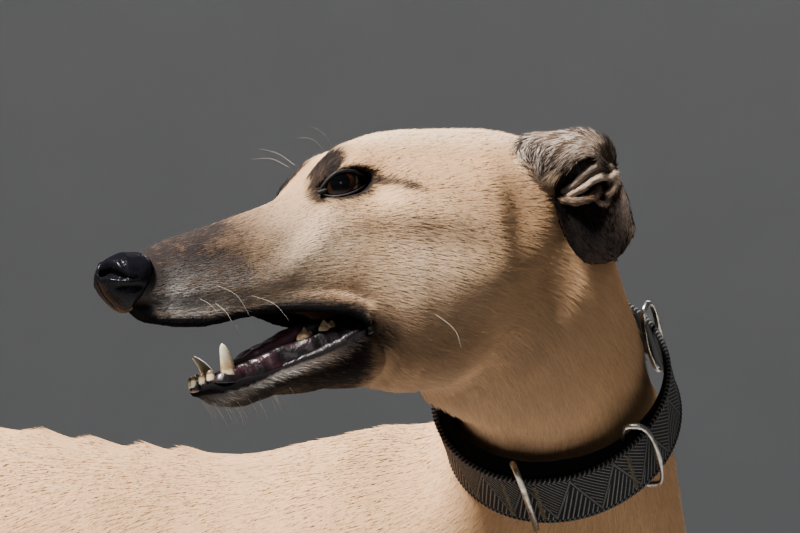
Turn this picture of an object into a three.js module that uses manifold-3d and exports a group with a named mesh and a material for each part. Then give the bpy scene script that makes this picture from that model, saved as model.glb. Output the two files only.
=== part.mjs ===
// A standing greyhound, life size, that looks back over its right shoulder with its mouth open and wears
// a loose martingale collar. Millimetres, +X towards the chest, +Y towards the dog's left, +Z up.
// Every form is drawn with the withers above X = 0, the spine in Y = 0 and the floor at Z = 0.
import * as THREE from "three";
import { mergeVertices } from "three/addons/utils/BufferGeometryUtils.js";
import Module from "manifold-3d";

const wasm = await Module();
wasm.setup();

// Driving sizes
const GAP = 0.3; // between two nodes that touch
const WITHERS = 700; // height of the back above the forelegs
const SOLE = 0; // height of the floor
const PAW_CUT = 60; // height at which a leg ends and its paw begins
const HEAD_YAW = 24; // degrees that the nose is turned from straight back towards the dog's right
const HEAD_ROLL = 8; // degrees that the crown leans towards the dog's spine
const HEAD_AT = [-145.6, -215, 758.8]; // where the nose tip's plane meets the line of the lips
const EYE = { s: 119, v: 26, w: 64, radius: 11.5, lid: 1.6, slit: 25, opening: 11.5 };

const radians = THREE.MathUtils.degToRad;
const { clamp, lerp, smoothstep } = THREE.MathUtils;
const point = (x, y, z) => new THREE.Vector3(x, y, z);

// A smooth curve through [position, value] pairs that never swings past them.
function profile(pairs) {
  const last = pairs.length - 1;
  const secant = pairs.slice(1).map(([x, y], i) => (y - pairs[i][1]) / (x - pairs[i][0]));
  const slope = pairs.map((_, i) => {
    if (i === 0) return secant[0];
    if (i === last) return secant[last - 1];
    const product = secant[i - 1] * secant[i];
    return product <= 0 ? 0 : (2 * product) / (secant[i - 1] + secant[i]);
  });
  return (x) => {
    if (x <= pairs[0][0]) return pairs[0][1];
    if (x >= pairs[last][0]) return pairs[last][1];
    let i = 0;
    while (x > pairs[i + 1][0]) i += 1;
    const [x0, y0] = pairs[i];
    const [x1, y1] = pairs[i + 1];
    const width = x1 - x0;
    const t = (x - x0) / width;
    return (
      y0 * (1 + 2 * t) * (1 - t) ** 2 +
      slope[i] * width * t * (1 - t) ** 2 +
      y1 * t * t * (3 - 2 * t) +
      slope[i + 1] * width * t * t * (t - 1)
    );
  };
}

// How far a section with half-width a, height up and depth down reaches in the direction of an angle.
function reach(angle, a, up, down, upPower, downPower) {
  const rising = Math.sin(angle) >= 0;
  const [b, power] = rising ? [up, upPower] : [down, downPower];
  const across = Math.abs(Math.cos(angle) / a) ** power;
  return (across + Math.abs(Math.sin(angle) / b) ** power) ** (-1 / power);
}

const swell = (x, centre, width) => Math.exp(-(((x - centre) / width) ** 2));

// 1 along a form, falling to 0 as an ellipse does over the last stretch at either end.
function roundEnds(x, start, end, startLength, endLength) {
  const near = clamp(1 - (x - start) / startLength, 0, 1);
  const far = clamp(1 - (end - x) / endLength, 0, 1);
  return Math.sqrt(1 - near ** 2) * Math.sqrt(1 - far ** 2);
}

// A closed form: the vertices of a sphere are carried to place(t, angle), t from 0 to 1 between the poles.
function form(around, along, place) {
  const geometry = new THREE.SphereGeometry(1, around, along);
  const position = geometry.getAttribute("position");
  for (let i = 0; i < position.count; i += 1) {
    const t = Math.acos(clamp(position.getY(i), -1, 1)) / Math.PI;
    const angle = Math.atan2(position.getZ(i), position.getX(i));
    position.setXYZ(i, ...place(t, angle));
  }
  return geometry;
}

// A closed band: the vertices of a torus are carried to place(turn, angle).
function loop(aroundWire, aroundLoop, place) {
  const geometry = new THREE.TorusGeometry(2, 1, aroundWire, aroundLoop);
  const position = geometry.getAttribute("position");
  for (let i = 0; i < position.count; i += 1) {
    const turn = Math.atan2(position.getY(i), position.getX(i));
    const outward = Math.hypot(position.getX(i), position.getY(i)) - 2;
    position.setXYZ(i, ...place(turn, Math.atan2(position.getZ(i), outward)));
  }
  return geometry;
}

// A three.js geometry as a manifold solid, with its faces turned outwards.
function solid(geometry, matrix) {
  const bare = new THREE.BufferGeometry();
  bare.setAttribute("position", geometry.getAttribute("position").clone());
  if (geometry.index) bare.setIndex(geometry.index);
  if (matrix) bare.applyMatrix4(matrix);
  const merged = mergeVertices(bare, 1e-3);
  const corners = [];
  for (let i = 0; i < merged.index.count; i += 3) {
    const [a, b, c] = [0, 1, 2].map((k) => merged.index.getX(i + k));
    if (a !== b && b !== c && c !== a) corners.push(a, b, c);
  }
  const build = (indices) =>
    new wasm.Manifold(
      new wasm.Mesh({
        numProp: 3,
        vertProperties: merged.getAttribute("position").array,
        triVerts: new Uint32Array(indices),
      }),
    );
  const made = build(corners);
  return made.volume() > 0 ? made : build(corners.reverse());
}

// The biggest closed surface of a solid: loose scraps left by a cut are dropped.
const largest = (whole) => whole.decompose().sort((a, b) => b.volume() - a.volume())[0];
const cut = (whole, ...tools) => largest(tools.reduce((left, tool) => left.subtract(tool), whole));
const join = (...pieces) => largest(pieces.reduce((all, piece) => all.add(piece)));

// A mesh node made from a solid.
function node(name, made, look) {
  const { numProp, vertProperties, triVerts } = made.getMesh();
  const corners = new Float32Array((vertProperties.length / numProp) * 3);
  for (let i = 0; i < corners.length / 3; i += 1)
    corners.set(vertProperties.subarray(i * numProp, i * numProp + 3), i * 3);
  const geometry = new THREE.BufferGeometry();
  geometry.setAttribute("position", new THREE.BufferAttribute(corners, 3));
  geometry.setIndex(new THREE.BufferAttribute(triVerts, 1));
  geometry.computeVertexNormals();
  const mesh = new THREE.Mesh(geometry, look);
  mesh.name = name;
  return mesh;
}

// A slab that covers everything between two heights.
function slab(low, high) {
  const wide = 3000;
  const geometry = new THREE.BoxGeometry(wide, wide, high - low);
  return solid(geometry.translate(0, 0, (low + high) / 2));
}

const look = (colour, roughness, metalness = 0) =>
  new THREE.MeshStandardMaterial({ color: colour, roughness, metalness });
const FAWN = look(0xc9a27c, 0.8);
const DARK_FAWN = look(0x5f4d44, 0.8);
const LEATHER = look(0x15151a, 0.4);
const TONGUE_PINK = look(0x6e3b48, 0.4);
const EYE_BROWN = look(0x1d120d, 0.1);
const WEBBING = look(0x141416, 0.85);
const STEEL = look(0xb8b4aa, 0.3, 1);

// Torso: sections across X, from the rump to the point of the chest
const TORSO = {
  rump: -548,
  chest: 163,
  top: profile([
    [-548, 606], [-520, 628], [-480, 652], [-420, 680], [-350, 697], [-285, 702], [-220, 697],
    [-150, 687], [-90, 683], [-40, 692], [0, 699], [40, 700], [90, 675], [130, 630], [163, 580],
  ]),
  bottom: profile([
    [-548, 562], [-500, 548], [-450, 538], [-400, 530], [-350, 515], [-300, 487], [-240, 444],
    [-180, 409], [-120, 386], [-60, 376], [0, 380], [50, 394], [100, 425], [140, 468], [163, 510],
  ]),
  halfWidth: profile([
    [-548, 55], [-500, 72], [-450, 79], [-400, 74], [-350, 66], [-305, 68], [-250, 83], [-180, 95],
    [-110, 98], [-40, 91], [30, 83], [80, 76], [130, 62], [163, 52],
  ]),
  middle: profile([
    [-548, 585], [-480, 605], [-400, 622], [-320, 622], [-250, 592], [-180, 562], [-100, 548], [0, 552],
    [80, 552], [163, 540],
  ]),
  upPower: profile([[-548, 2], [-420, 2.1], [-300, 2.2], [-150, 1.9], [0, 1.55], [80, 1.8], [163, 2]]),
  downPower: 1.9,
};

function torsoForm(grow = 0) {
  const middleX = (TORSO.rump + TORSO.chest) / 2;
  const halfLength = (TORSO.chest - TORSO.rump) / 2 + grow;
  return form(22, 26, (t, angle) => {
    const x = middleX - halfLength * Math.cos(Math.PI * t);
    const inside = clamp(x, TORSO.rump, TORSO.chest);
    const full = roundEnds(x, middleX - halfLength, middleX + halfLength, 60, 62);
    const middle = TORSO.middle(inside);
    const radius = reach(
      angle,
      TORSO.halfWidth(inside),
      TORSO.top(inside) - middle,
      middle - TORSO.bottom(inside),
      TORSO.upPower(inside),
      TORSO.downPower,
    );
    const grown = full * (radius + grow);
    return [x, grown * Math.cos(angle), middle + grown * Math.sin(angle)];
  });
}

// Neck: sections across a path that rises from the shoulders and leans to the dog's right. dorsal turns from
// the withers' side, through the dog's left, to the nape of the head that looks back.
const NECK = {
  path: new THREE.CatmullRomCurve3([
    point(50, 0, 560), point(84, -5, 628), point(91, -30, 676), point(82, -61, 717), point(73, -90, 742),
    point(57, -114, 763), point(34, -134, 782),
  ]),
  lateral: profile([[0, 60], [0.167, 63], [0.333, 58.5], [0.5, 53.5], [0.667, 51.5], [0.833, 48], [1, 42]]),
  dorsal: profile([[0, 100], [0.167, 86], [0.333, 64], [0.5, 51], [0.667, 55], [0.833, 63], [1, 57]]),
  turn: profile([[0, 0], [0.167, 32], [0.333, 62], [0.5, 90], [0.667, 122], [0.833, 150], [1, 160]]),
};

// The centre, the axis, and the directions of the nape and of the side at a place along the neck.
function neckFrame(t) {
  const centre = NECK.path.getPoint(clamp(t, 0, 1));
  const axis = NECK.path.getTangent(clamp(t, 0, 1));
  const turned = radians(NECK.turn(t));
  const nape = point(-Math.cos(turned), Math.sin(turned), 0.25);
  nape.addScaledVector(axis, -nape.dot(axis)).normalize();
  return { centre, axis, nape, side: axis.clone().cross(nape) };
}

const neckRadius = (t, angle) =>
  reach(angle, NECK.lateral(t), NECK.dorsal(t), NECK.dorsal(t), 2.05, 2.05);

function neckForm(grow = 0) {
  return form(20, 17, (t, angle) => {
    const { centre, nape, side } = neckFrame(t);
    const radius = roundEnds(t, 0, 1, 0.12, 0.16) * (neckRadius(t, angle) + grow);
    centre.addScaledVector(side, radius * Math.cos(angle)).addScaledVector(nape, radius * Math.sin(angle));
    return centre.toArray();
  });
}

// Head: s runs back from the nose tip, v towards the head's right and w up from the line of the lips
const HEAD_MATRIX = new THREE.Matrix4().makeRotationX(radians(-HEAD_ROLL));
HEAD_MATRIX.premultiply(new THREE.Matrix4().makeRotationZ(radians(HEAD_YAW))).setPosition(...HEAD_AT);
const WORLD_TO_HEAD = HEAD_MATRIX.clone().invert();

const HEAD = {
  front: 11,
  back: 254,
  top: profile([
    [11, 29], [20, 34.5], [28, 38.3], [37, 42], [47, 45], [67, 51.6], [86, 58], [95, 62], [104, 69],
    [113, 76.5], [122, 83.5], [134, 90.5], [146, 94.5], [165, 97], [200, 98], [218, 96.5], [236, 90],
    [254, 74],
  ]),
  bottom: profile([
    [11, 7], [16, 5], [24, 1.6], [34, 0.4], [46, 0.4], [58, 1], [71, 3.2], [82, 5], [94, 6], [106, 6],
    [118, 4.5], [125, 0], [130, -10], [137, -24], [146, -33], [160, -36], [176, -35], [192, -29],
    [208, -18], [225, 0], [254, 35],
  ]),
  halfWidth: profile([
    [11, 12], [20, 15.5], [30, 17.2], [40, 19], [55, 21], [70, 23], [85, 26], [95, 29], [105, 33.5],
    [115, 38], [125, 42], [140, 47], [155, 51], [170, 53], [190, 53], [205, 50], [220, 44], [236, 36],
    [254, 26],
  ]),
  middle: profile([
    [11, 14], [30, 12], [60, 12], [85, 18], [100, 30], [115, 42], [130, 44], [150, 40], [180, 34],
    [210, 40], [254, 48],
  ]),
  upPower: profile([[11, 2], [60, 2.1], [100, 2.4], [120, 2.9], [145, 2.3], [180, 2], [254, 2]]),
  downPower: profile([
    [11, 2.4], [40, 3], [70, 3.5], [90, 5], [110, 8], [122, 8], [136, 3.6], [155, 2.6], [254, 2],
  ]),
  lipTaper: profile([[11, 0.8], [30, 0.88], [60, 0.9], [115, 0.89], [127, 0.86], [150, 1]]),
};

// Swells and hollows of the head: s, degrees above the widest line, height, reach along s and in degrees
const HEAD_FEATURES = {
  eyeSocket: [112, 34, -1.5, 9, 13],
  orbit: [134, 27, -5, 9, 15],
  brow: [120, 62, 4, 12, 13],
  browFurrow: [120, 90, -2.5, 16, 9],
  cheekbone: [152, 8, 3, 26, 12],
  temple: [158, 48, -3, 20, 14],
  masseter: [180, -22, 4, 22, 20],
  faceHollow: [90, 30, -1.5, 16, 18],
  canineSwell: [38, -5, 1.2, 10, 25],
  jawAngle: [206, 10, -4, 12, 30],
};

function headRadius(s, angle) {
  const middle = HEAD.middle(s);
  let radius = reach(
    angle,
    HEAD.halfWidth(s),
    HEAD.top(s) - middle,
    middle - HEAD.bottom(s),
    HEAD.upPower(s),
    HEAD.downPower(s),
  );
  const above = THREE.MathUtils.radToDeg(Math.atan2(Math.sin(angle), Math.abs(Math.cos(angle))));
  for (const [at, tilt, height, along, around] of Object.values(HEAD_FEATURES))
    radius += height * swell(s, at, along) * swell(above, tilt, around);
  return radius;
}

function headForm(grow = 0) {
  const spacing = profile([[0, 0], [0.12, 0.06], [0.5, 0.46], [0.8, 0.84], [1, 1]]);
  return form(26, 34, (t, angle) => {
    const s = lerp(HEAD.front - grow, HEAD.back + grow, spacing(t));
    const inside = clamp(s, HEAD.front, HEAD.back);
    const full = roundEnds(s, HEAD.front - grow, HEAD.back + grow, 9, 30);
    const radius = full * (headRadius(inside, angle) + grow);
    const rise = radius * Math.sin(angle);
    const depth = clamp(-rise / (HEAD.middle(inside) - HEAD.bottom(inside)), 0, 1);
    const taper = lerp(1, HEAD.lipTaper(inside), depth);
    return [s, radius * Math.cos(angle) * taper, HEAD.middle(inside) + rise];
  });
}

// Nose leather, with comma-shaped nostrils
const NOSE = {
  back: 26,
  top: profile([[0, 26.5], [3, 29.5], [7.7, 33], [13, 35.2], [20, 35.6], [26, 33]]),
  bottom: profile([[0, 19], [3, 14.5], [7, 10], [11, 7.4], [16, 10.5], [26, 18]]),
  halfWidth: profile([[0, 7], [3, 11.5], [7, 14.5], [12, 16.5], [18, 16.5], [26, 13]]),
};

function noseForm(grow = 0) {
  return form(18, 12, (t, angle) => {
    const s = lerp(-grow, NOSE.back + grow, (1 - Math.cos(Math.PI * t)) / 2);
    const inside = clamp(s, 0, NOSE.back);
    const full = roundEnds(s, -grow, NOSE.back + grow, 4, 6);
    const middle = (NOSE.top(inside) + NOSE.bottom(inside)) / 2;
    const half = (NOSE.top(inside) - NOSE.bottom(inside)) / 2;
    const radius = full * (reach(angle, NOSE.halfWidth(inside), half, half, 2.3, 2.1) + grow);
    return [s, radius * Math.cos(angle), middle + radius * Math.sin(angle)];
  });
}

function nostrilForm(sign) {
  return form(8, 6, (t, angle) => {
    const along = lerp(-7, 7, t);
    const radius = Math.sin(Math.PI * t) * 3.2;
    const sweep = along / 7;
    return [
      2.5 + 5.5 * (sweep + 1) * 0.5 + radius * Math.cos(angle) * 1.6,
      sign * (7.5 + 3.6 * (sweep + 1) + radius * Math.cos(angle) * 0.6),
      21 - 2.2 * sweep + radius * Math.sin(angle),
    ];
  });
}

// Lower jaw, open
const JAW = {
  tip: 46,
  back: 146,
  top: profile([
    [46, -32], [52, -29.5], [60, -28], [75, -25.5], [90, -20.5], [105, -15.5], [120, -9], [132, -5],
    [146, -4],
  ]),
  bottom: profile([
    [46, -36], [50, -39.5], [60, -41.8], [69, -42.6], [80, -40], [90, -37], [105, -36], [119, -34],
    [132, -34], [146, -30],
  ]),
  halfWidth: profile([
    [46, 9], [52, 12.5], [60, 15.5], [75, 18], [90, 22], [105, 27.5], [118, 33.5], [130, 32], [146, 24],
  ]),
  middle: profile([
    [46, -34], [60, -35], [75, -33], [90, -29], [105, -26], [120, -21], [132, -19], [146, -17],
  ]),
};

function jawForm(grow = 0) {
  return form(18, 16, (t, angle) => {
    const s = lerp(JAW.tip - grow, JAW.back + grow, (1 - Math.cos(Math.PI * t)) / 2);
    const inside = clamp(s, JAW.tip, JAW.back);
    const full = roundEnds(s, JAW.tip - grow, JAW.back + grow, 12, 12);
    const middle = JAW.middle(inside);
    const [up, down] = [JAW.top(inside) - middle, middle - JAW.bottom(inside)];
    const shape = reach(angle, JAW.halfWidth(inside), up, down, 3, 2.2);
    const radius = full * (shape + grow);
    return [s, radius * Math.cos(angle), middle + radius * Math.sin(angle)];
  });
}

// A round bar along a list of points in the head's frame, thinning to both ends.
function bar(points, radius, around, along) {
  const path = new THREE.CatmullRomCurve3(points.map((p) => point(...p)));
  return form(around, along, (t, angle) => {
    const axis = path.getTangentAt(t);
    const across = point(0, 0, 1).cross(axis).normalize();
    const rise = axis.clone().cross(across);
    const size = radius * Math.sqrt(Math.max(0, 1 - (2 * t - 1) ** 6));
    const centre = path.getPointAt(t);
    centre.addScaledVector(across, size * Math.cos(angle)).addScaledVector(rise, size * Math.sin(angle));
    return centre.toArray();
  });
}

// The edge of the upper and lower lip on one side: s, v and w from the front to the corner of the mouth
const LIP_CORNER = [127.5, 35.5, -6.5];
const UPPER_LIP = [
  [16, 8.5, 5], [27, 14, -0.6], [44, 17.5, -1.6], [65, 19.5, 0.8], [86, 23.5, 3.6], [106, 30, 3.8],
  [121, 34.8, 1.2], LIP_CORNER,
];
const LOWER_LIP = [
  [48, 7, -33], [56, 12.5, -32], [66, 15.5, -31], [83, 19, -26.4], [96, 23, -22], [106, 27, -18.6],
  [116, 31, -14], [125, 34.5, -9],
];
const mirrored = (points, sign) => points.map(([s, v, w]) => [s, sign * v, w]);

// Lids: a shell over the eyeball, open along an almond-shaped slit with a shallow corner on either side
const eyeBall = (sign, grow = 0) =>
  new THREE.SphereGeometry(EYE.radius + grow, 14, 10).translate(EYE.s, sign * EYE.v, EYE.w);

function eyeSlit(sign) {
  return form(8, 10, (t, angle) => {
    const along = -Math.cos(Math.PI * t);
    const lens = 1 - along ** 2;
    const height = (EYE.opening / 2) * lens ** 0.8;
    return [
      EYE.s - 0.5 + (EYE.slit / 2) * along,
      sign * (EYE.v + EYE.radius * (1.1 - 0.42 * along ** 2) + 9 * lens ** 0.5 * Math.cos(angle)),
      EYE.w + 1.6 * along + height * Math.sin(angle) * (1 - 0.2 * along),
    ];
  });
}

// A tooth: a cone with a blunt tip that leans as it rises
function toothForm([s, v, w], length, height, width, lean = [0, 0], around = 6) {
  return form(around, 3, (t, angle) => {
    const radius = 0.5 * Math.abs(Math.sin(Math.PI * t)) ** 0.8 * (1.15 - 0.75 * t);
    const rise = lerp(-2, height, t);
    return [
      s + lean[0] * t * t + length * radius * Math.cos(angle),
      v + lean[1] * t * t + width * radius * Math.sin(angle),
      w + rise,
    ];
  });
}

function lowerTeeth() {
  const teeth = [];
  for (const sign of [-1, 1]) {
    for (const [i, v] of [1.7, 4.8, 8.2].entries())
      teeth.push(toothForm([49.4 + 1.9 * i, sign * v, -31], 3.4, 6.4, 3.4, [-0.8, 0], 5));
    teeth.push(toothForm([60.3, sign * 13.2, -29], 9, 18, 7.5, [-5, sign * 4.6], 7));
    for (const [s, length, height] of [[75, 6, 3.5], [85, 8, 5], [98, 10, 8.5], [110, 14, 10], [121, 8, 5]])
      teeth.push(toothForm([s, sign * (2 + 0.18 * s), JAW.top(s) - 2], length, height, 5, [0, 0], 5));
  }
  return teeth.map((tooth) => solid(tooth));
}

// Tongue
const TONGUE = {
  tip: 67,
  back: 134,
  top: profile([[67, -20.5], [72, -17.5], [78, -13.5], [88, -9.3], [96.5, -4.5], [110, -0.5], [134, 0]]),
  bottom: profile([[67, -22], [75, -22], [90, -17.5], [105, -12], [120, -6], [134, -3]]),
  halfWidth: profile([[67, 9], [75, 12], [90, 13], [110, 15], [134, 15]]),
};

function tongueForm() {
  return form(12, 12, (t, angle) => {
    const s = lerp(TONGUE.tip, TONGUE.back, t);
    const full = roundEnds(s, TONGUE.tip, TONGUE.back, 12, 8);
    const middle = (TONGUE.top(s) + TONGUE.bottom(s)) / 2;
    const half = (TONGUE.top(s) - TONGUE.bottom(s)) / 2;
    const radius = full * reach(angle, TONGUE.halfWidth(s), half, half, 2.4, 2.4);
    return [s, radius * Math.cos(angle), middle + radius * Math.sin(angle)];
  });
}

// Ears: a curled hood that runs back from the skull, and a flap that hangs from under it along the neck.
// across points to the outer edge of the sheet, at its start and at its end.
const EAR_HOOD = {
  path: new THREE.CatmullRomCurve3([
    point(206, 30, 72), point(222, 35, 86), point(238, 40, 88.5), point(252, 42, 88.5), point(262, 43, 83),
    point(266, 43.5, 71), point(265, 44, 56),
  ]),
  halfWidth: profile([[0, 17], [0.25, 21], [0.5, 22], [0.75, 21], [1, 19]]),
  curl: profile([[0, 105], [0.3, 88], [0.6, 70], [1, 50]]),
  thickness: profile([[0, 3.2], [0.5, 2.8], [1, 2.4]]),
  across: [point(0.14, 0.72, -0.6), point(-0.5, 0.8, -0.25)],
};
const EAR_FLAP = {
  path: new THREE.CatmullRomCurve3([
    point(247, 37, 80), point(249, 40, 62), point(251, 42.5, 46), point(254, 44, 35), point(257.5, 45, 24.5),
  ]),
  halfWidth: profile([[0, 12], [0.25, 16.5], [0.55, 20], [0.8, 18.5], [1, 14]]),
  curl: profile([[0, 30], [0.5, 38], [1, 24]]),
  thickness: profile([[0, 2.6], [1, 2.2]]),
  across: [point(0.9, 0.35, 0), point(0.95, 0.25, 0.1)],
};
const EAR_RIDGES = [
  [[236, 38, 60], [241, 44, 65.5], [249, 48, 72.5], [256, 48, 75], [261, 46, 73]],
  [[236, 38, 55], [240, 43, 58.5], [246, 48, 61], [254, 50, 65], [260, 49, 64.5], [264, 45, 64]],
];

function sheetForm(sheet, sign, around, along) {
  return form(around, along, (t, angle) => {
    const centre = sheet.path.getPointAt(t);
    const axis = sheet.path.getTangentAt(t);
    const outward = sheet.across[0].clone().lerp(sheet.across[1], t);
    const back = axis.clone().cross(outward).normalize();
    const hinge = back.clone().cross(axis);
    const curl = radians(sheet.curl(t));
    const width = sheet.halfWidth(t) * roundEnds(t, 0, 1, 0.1, 0.16);
    const bend = sheet.halfWidth(t) / curl;
    const across = Math.cos(angle) * (width / sheet.halfWidth(t)) * curl;
    const side = Math.sin(angle);
    const halfThickness = (sheet.thickness(t) * Math.min(1, width / 8)) / 2;
    const radius = bend + Math.sign(side) * Math.sqrt(Math.abs(side)) * halfThickness;
    centre.addScaledVector(back, radius * Math.cos(across) - bend);
    centre.addScaledVector(hinge, radius * Math.sin(across));
    return [centre.x, sign * centre.y, centre.z];
  });
}

function earSolid(sign) {
  const sheets = [sheetForm(EAR_HOOD, sign, 12, 12), sheetForm(EAR_FLAP, sign, 10, 9)];
  const ridges = EAR_RIDGES.map((points) => bar(mirrored(points, sign), 2.2, 4, 6));
  return join(...[...sheets, ...ridges].map((part) => solid(part)));
}

// Legs: sections across Z. front and rear are the outlines from the side, outer and inner those from ahead.
const FORE_LEG = {
  top: 640,
  front: profile([
    [0, 76], [12, 82], [28, 80], [45, 69], [60, 58], [76, 50], [100, 44], [130, 44], [150, 44], [180, 41],
    [220, 42], [280, 47], [330, 54], [385, 66], [420, 84], [460, 108], [500, 128], [535, 138], [570, 128],
    [605, 104], [640, 70],
  ]),
  rear: profile([
    [0, 34], [14, 27], [40, 19], [70, 12], [100, 8], [125, 2], [150, 3], [180, 7], [220, 5], [280, 1],
    [330, -8], [362, -22], [385, -38], [410, -44], [460, -46], [520, -36], [580, -16], [640, 10],
  ]),
  outer: profile([
    [0, 92], [45, 89], [70, 86], [100, 86], [130, 89], [150, 89], [180, 87], [220, 88], [280, 91],
    [330, 94], [385, 97], [440, 99], [500, 100], [560, 92], [600, 78], [640, 60],
  ]),
  inner: profile([
    [0, 60], [45, 61], [70, 62], [100, 62], [130, 60], [150, 60], [180, 62], [220, 61], [280, 59],
    [330, 56], [385, 52], [440, 46], [520, 40], [640, 20],
  ]),
};
const HIND_LEG = {
  top: 640,
  front: profile([
    [0, -524], [12, -518], [28, -520], [45, -532], [60, -544], [76, -555], [100, -562], [140, -560],
    [170, -552], [200, -536], [240, -500], [280, -458], [320, -416], [360, -380], [390, -361],
    [415, -354], [450, -352], [500, -358], [560, -376], [640, -410],
  ]),
  rear: profile([
    [0, -572], [14, -579], [40, -587], [80, -592], [120, -597], [150, -604], [170, -611], [190, -612],
    [205, -603], [230, -582], [270, -550], [320, -520], [370, -510], [410, -516], [460, -536],
    [520, -553], [580, -556], [640, -530],
  ]),
  outer: profile([
    [0, 109], [45, 107], [80, 104], [120, 104], [165, 106], [200, 105], [240, 106], [320, 110], [400, 116],
    [460, 119], [520, 116], [570, 106], [610, 88], [640, 68],
  ]),
  inner: profile([
    [0, 77], [45, 78], [80, 79], [120, 79], [165, 78], [200, 79], [240, 77], [320, 71], [400, 60],
    [480, 46], [560, 34], [640, 22],
  ]),
};
const POWER_OF_LEG = 2.15;

// Where each foot stands: side of the body, and how far the foot is set forward of a square stance
const STANCE = {
  fore_left: [FORE_LEG, 1, 16],
  fore_right: [FORE_LEG, -1, -8],
  hind_left: [HIND_LEG, 1, -26],
  hind_right: [HIND_LEG, -1, 10],
};

const stepForward = (leg, z, step) => step * clamp(1 - z / leg.top, 0, 1);

function legForm([leg, sign, step], grow = 0) {
  const below = -20;
  return form(12, 22, (t, angle) => {
    const z = lerp(leg.top, below, t);
    const inside = Math.max(z, 0);
    const full = roundEnds(leg.top - z, 0, leg.top - below, 50, 1);
    const [front, rear] = [leg.front(inside), leg.rear(inside)];
    const [outer, inner] = [leg.outer(inside), leg.inner(inside)];
    const halfWidth = (outer - inner) / 2;
    const shape = reach(angle, (front - rear) / 2, halfWidth, halfWidth, POWER_OF_LEG, POWER_OF_LEG);
    const radius = full * (shape + grow);
    return [
      (front + rear) / 2 + stepForward(leg, inside, step) + radius * Math.cos(angle),
      sign * ((outer + inner) / 2 + radius * Math.sin(angle)),
      z,
    ];
  });
}

// Four toes of a hare foot, each with its claw: how far ahead and aside of the foot, and its turn outwards
const TOES = [[33, -8.8, -3], [33, 8.8, 3], [19, -22, -9], [19, 22, 9]];
const TOE = { length: 50, width: 19, height: 31 };

function pawSolid([leg, sign, step]) {
  const heel = (leg.front(0) + leg.rear(0)) / 2 + step;
  const aside = sign * ((leg.outer(0) + leg.inner(0)) / 2);
  const pieces = [];
  for (const [ahead, across, turned] of TOES) {
    const place = new THREE.Matrix4().makeRotationZ(radians(turned));
    place.setPosition(heel + ahead, aside + across, TOE.height * 0.43);
    const toe = form(8, 6, (t, angle) => {
      const along = -Math.cos(Math.PI * t);
      const knuckle = 1 + 0.12 * swell(along, 0.05, 0.35);
      const radius = Math.abs(Math.sin(Math.PI * t)) ** 0.9;
      return [
        (TOE.length / 2) * along,
        (TOE.width / 2) * radius * Math.cos(angle),
        (TOE.height / 2) * radius * Math.sin(angle) * knuckle - 3.5 * along,
      ];
    });
    const claw = form(4, 3, (t, angle) => {
      const radius = 3 * (1 - t) ** 0.7 * Math.min(1, t * 6);
      const rise = -1 - 9 * t * t;
      return [TOE.length / 2 - 5 + 13 * t, radius * Math.cos(angle), rise + radius * Math.sin(angle)];
    });
    pieces.push(solid(toe, place), solid(claw, place));
  }
  return pieces;
}

// Tail: hangs in a long curve behind the hocks and lifts at its tip
const TAIL = {
  path: new THREE.CatmullRomCurve3([
    point(-500, 0, 618), point(-535, 0, 598), point(-562, 0, 540), point(-577, 0, 460), point(-590, 0, 370),
    point(-606, 0, 285), point(-632, 0, 215), point(-668, 0, 188),
  ]),
  radius: profile([[0, 24], [0.12, 20], [0.3, 14], [0.6, 9], [0.9, 5.5], [1, 3.5]]),
};

function tailForm() {
  return form(8, 20, (t, angle) => {
    const centre = TAIL.path.getPointAt(t);
    const axis = TAIL.path.getTangentAt(t);
    const side = point(0, 1, 0);
    const radius = TAIL.radius(t) * roundEnds(t, 0, 1, 0.03, 0.02);
    centre.addScaledVector(side, radius * Math.cos(angle));
    centre.addScaledVector(axis.cross(side), radius * Math.sin(angle));
    return centre.toArray();
  });
}

// Collar: a wide padded band that lies on the nape and hangs away from the throat, with three wire loops
const COLLAR = {
  centre: point(83.5, -65, 713),
  aside: point(0.94, 0, 0.342), // towards the side of the chest
  throat: point(0.255, -0.667, -0.7), // towards the throat
  radius: 63,
  width: 38,
  thickness: 3,
  padding: 2.5,
};

// The middle of the band at a turn round the neck, with the directions along, out of and across the webbing.
function collarFrame(turn) {
  const out = COLLAR.aside.clone().multiplyScalar(Math.cos(turn));
  out.addScaledVector(COLLAR.throat, Math.sin(turn)).normalize();
  const across = COLLAR.throat.clone().cross(COLLAR.aside).normalize();
  const centre = COLLAR.centre.clone().addScaledVector(out, COLLAR.radius);
  return { centre, along: across.clone().cross(out), across, out };
}

// How far the lining stands in from the webbing: most at the throat
const padding = (turn) => COLLAR.padding * ((1 + Math.sin(turn)) / 2) ** 1.5;

function collarForm() {
  return loop(8, 36, (turn, angle) => {
    const { centre, across, out } = collarFrame(turn);
    const lining = Math.cos(angle) < 0 ? padding(turn) : 0;
    const thick = Math.sign(Math.cos(angle)) * Math.abs(Math.cos(angle)) ** 0.4;
    const wide = Math.sign(Math.sin(angle)) * Math.abs(Math.sin(angle)) ** 0.4;
    centre.addScaledVector(out, thick * (COLLAR.thickness / 2 + lining));
    return centre.addScaledVector(across, (wide * COLLAR.width) / 2).toArray();
  });
}

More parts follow.
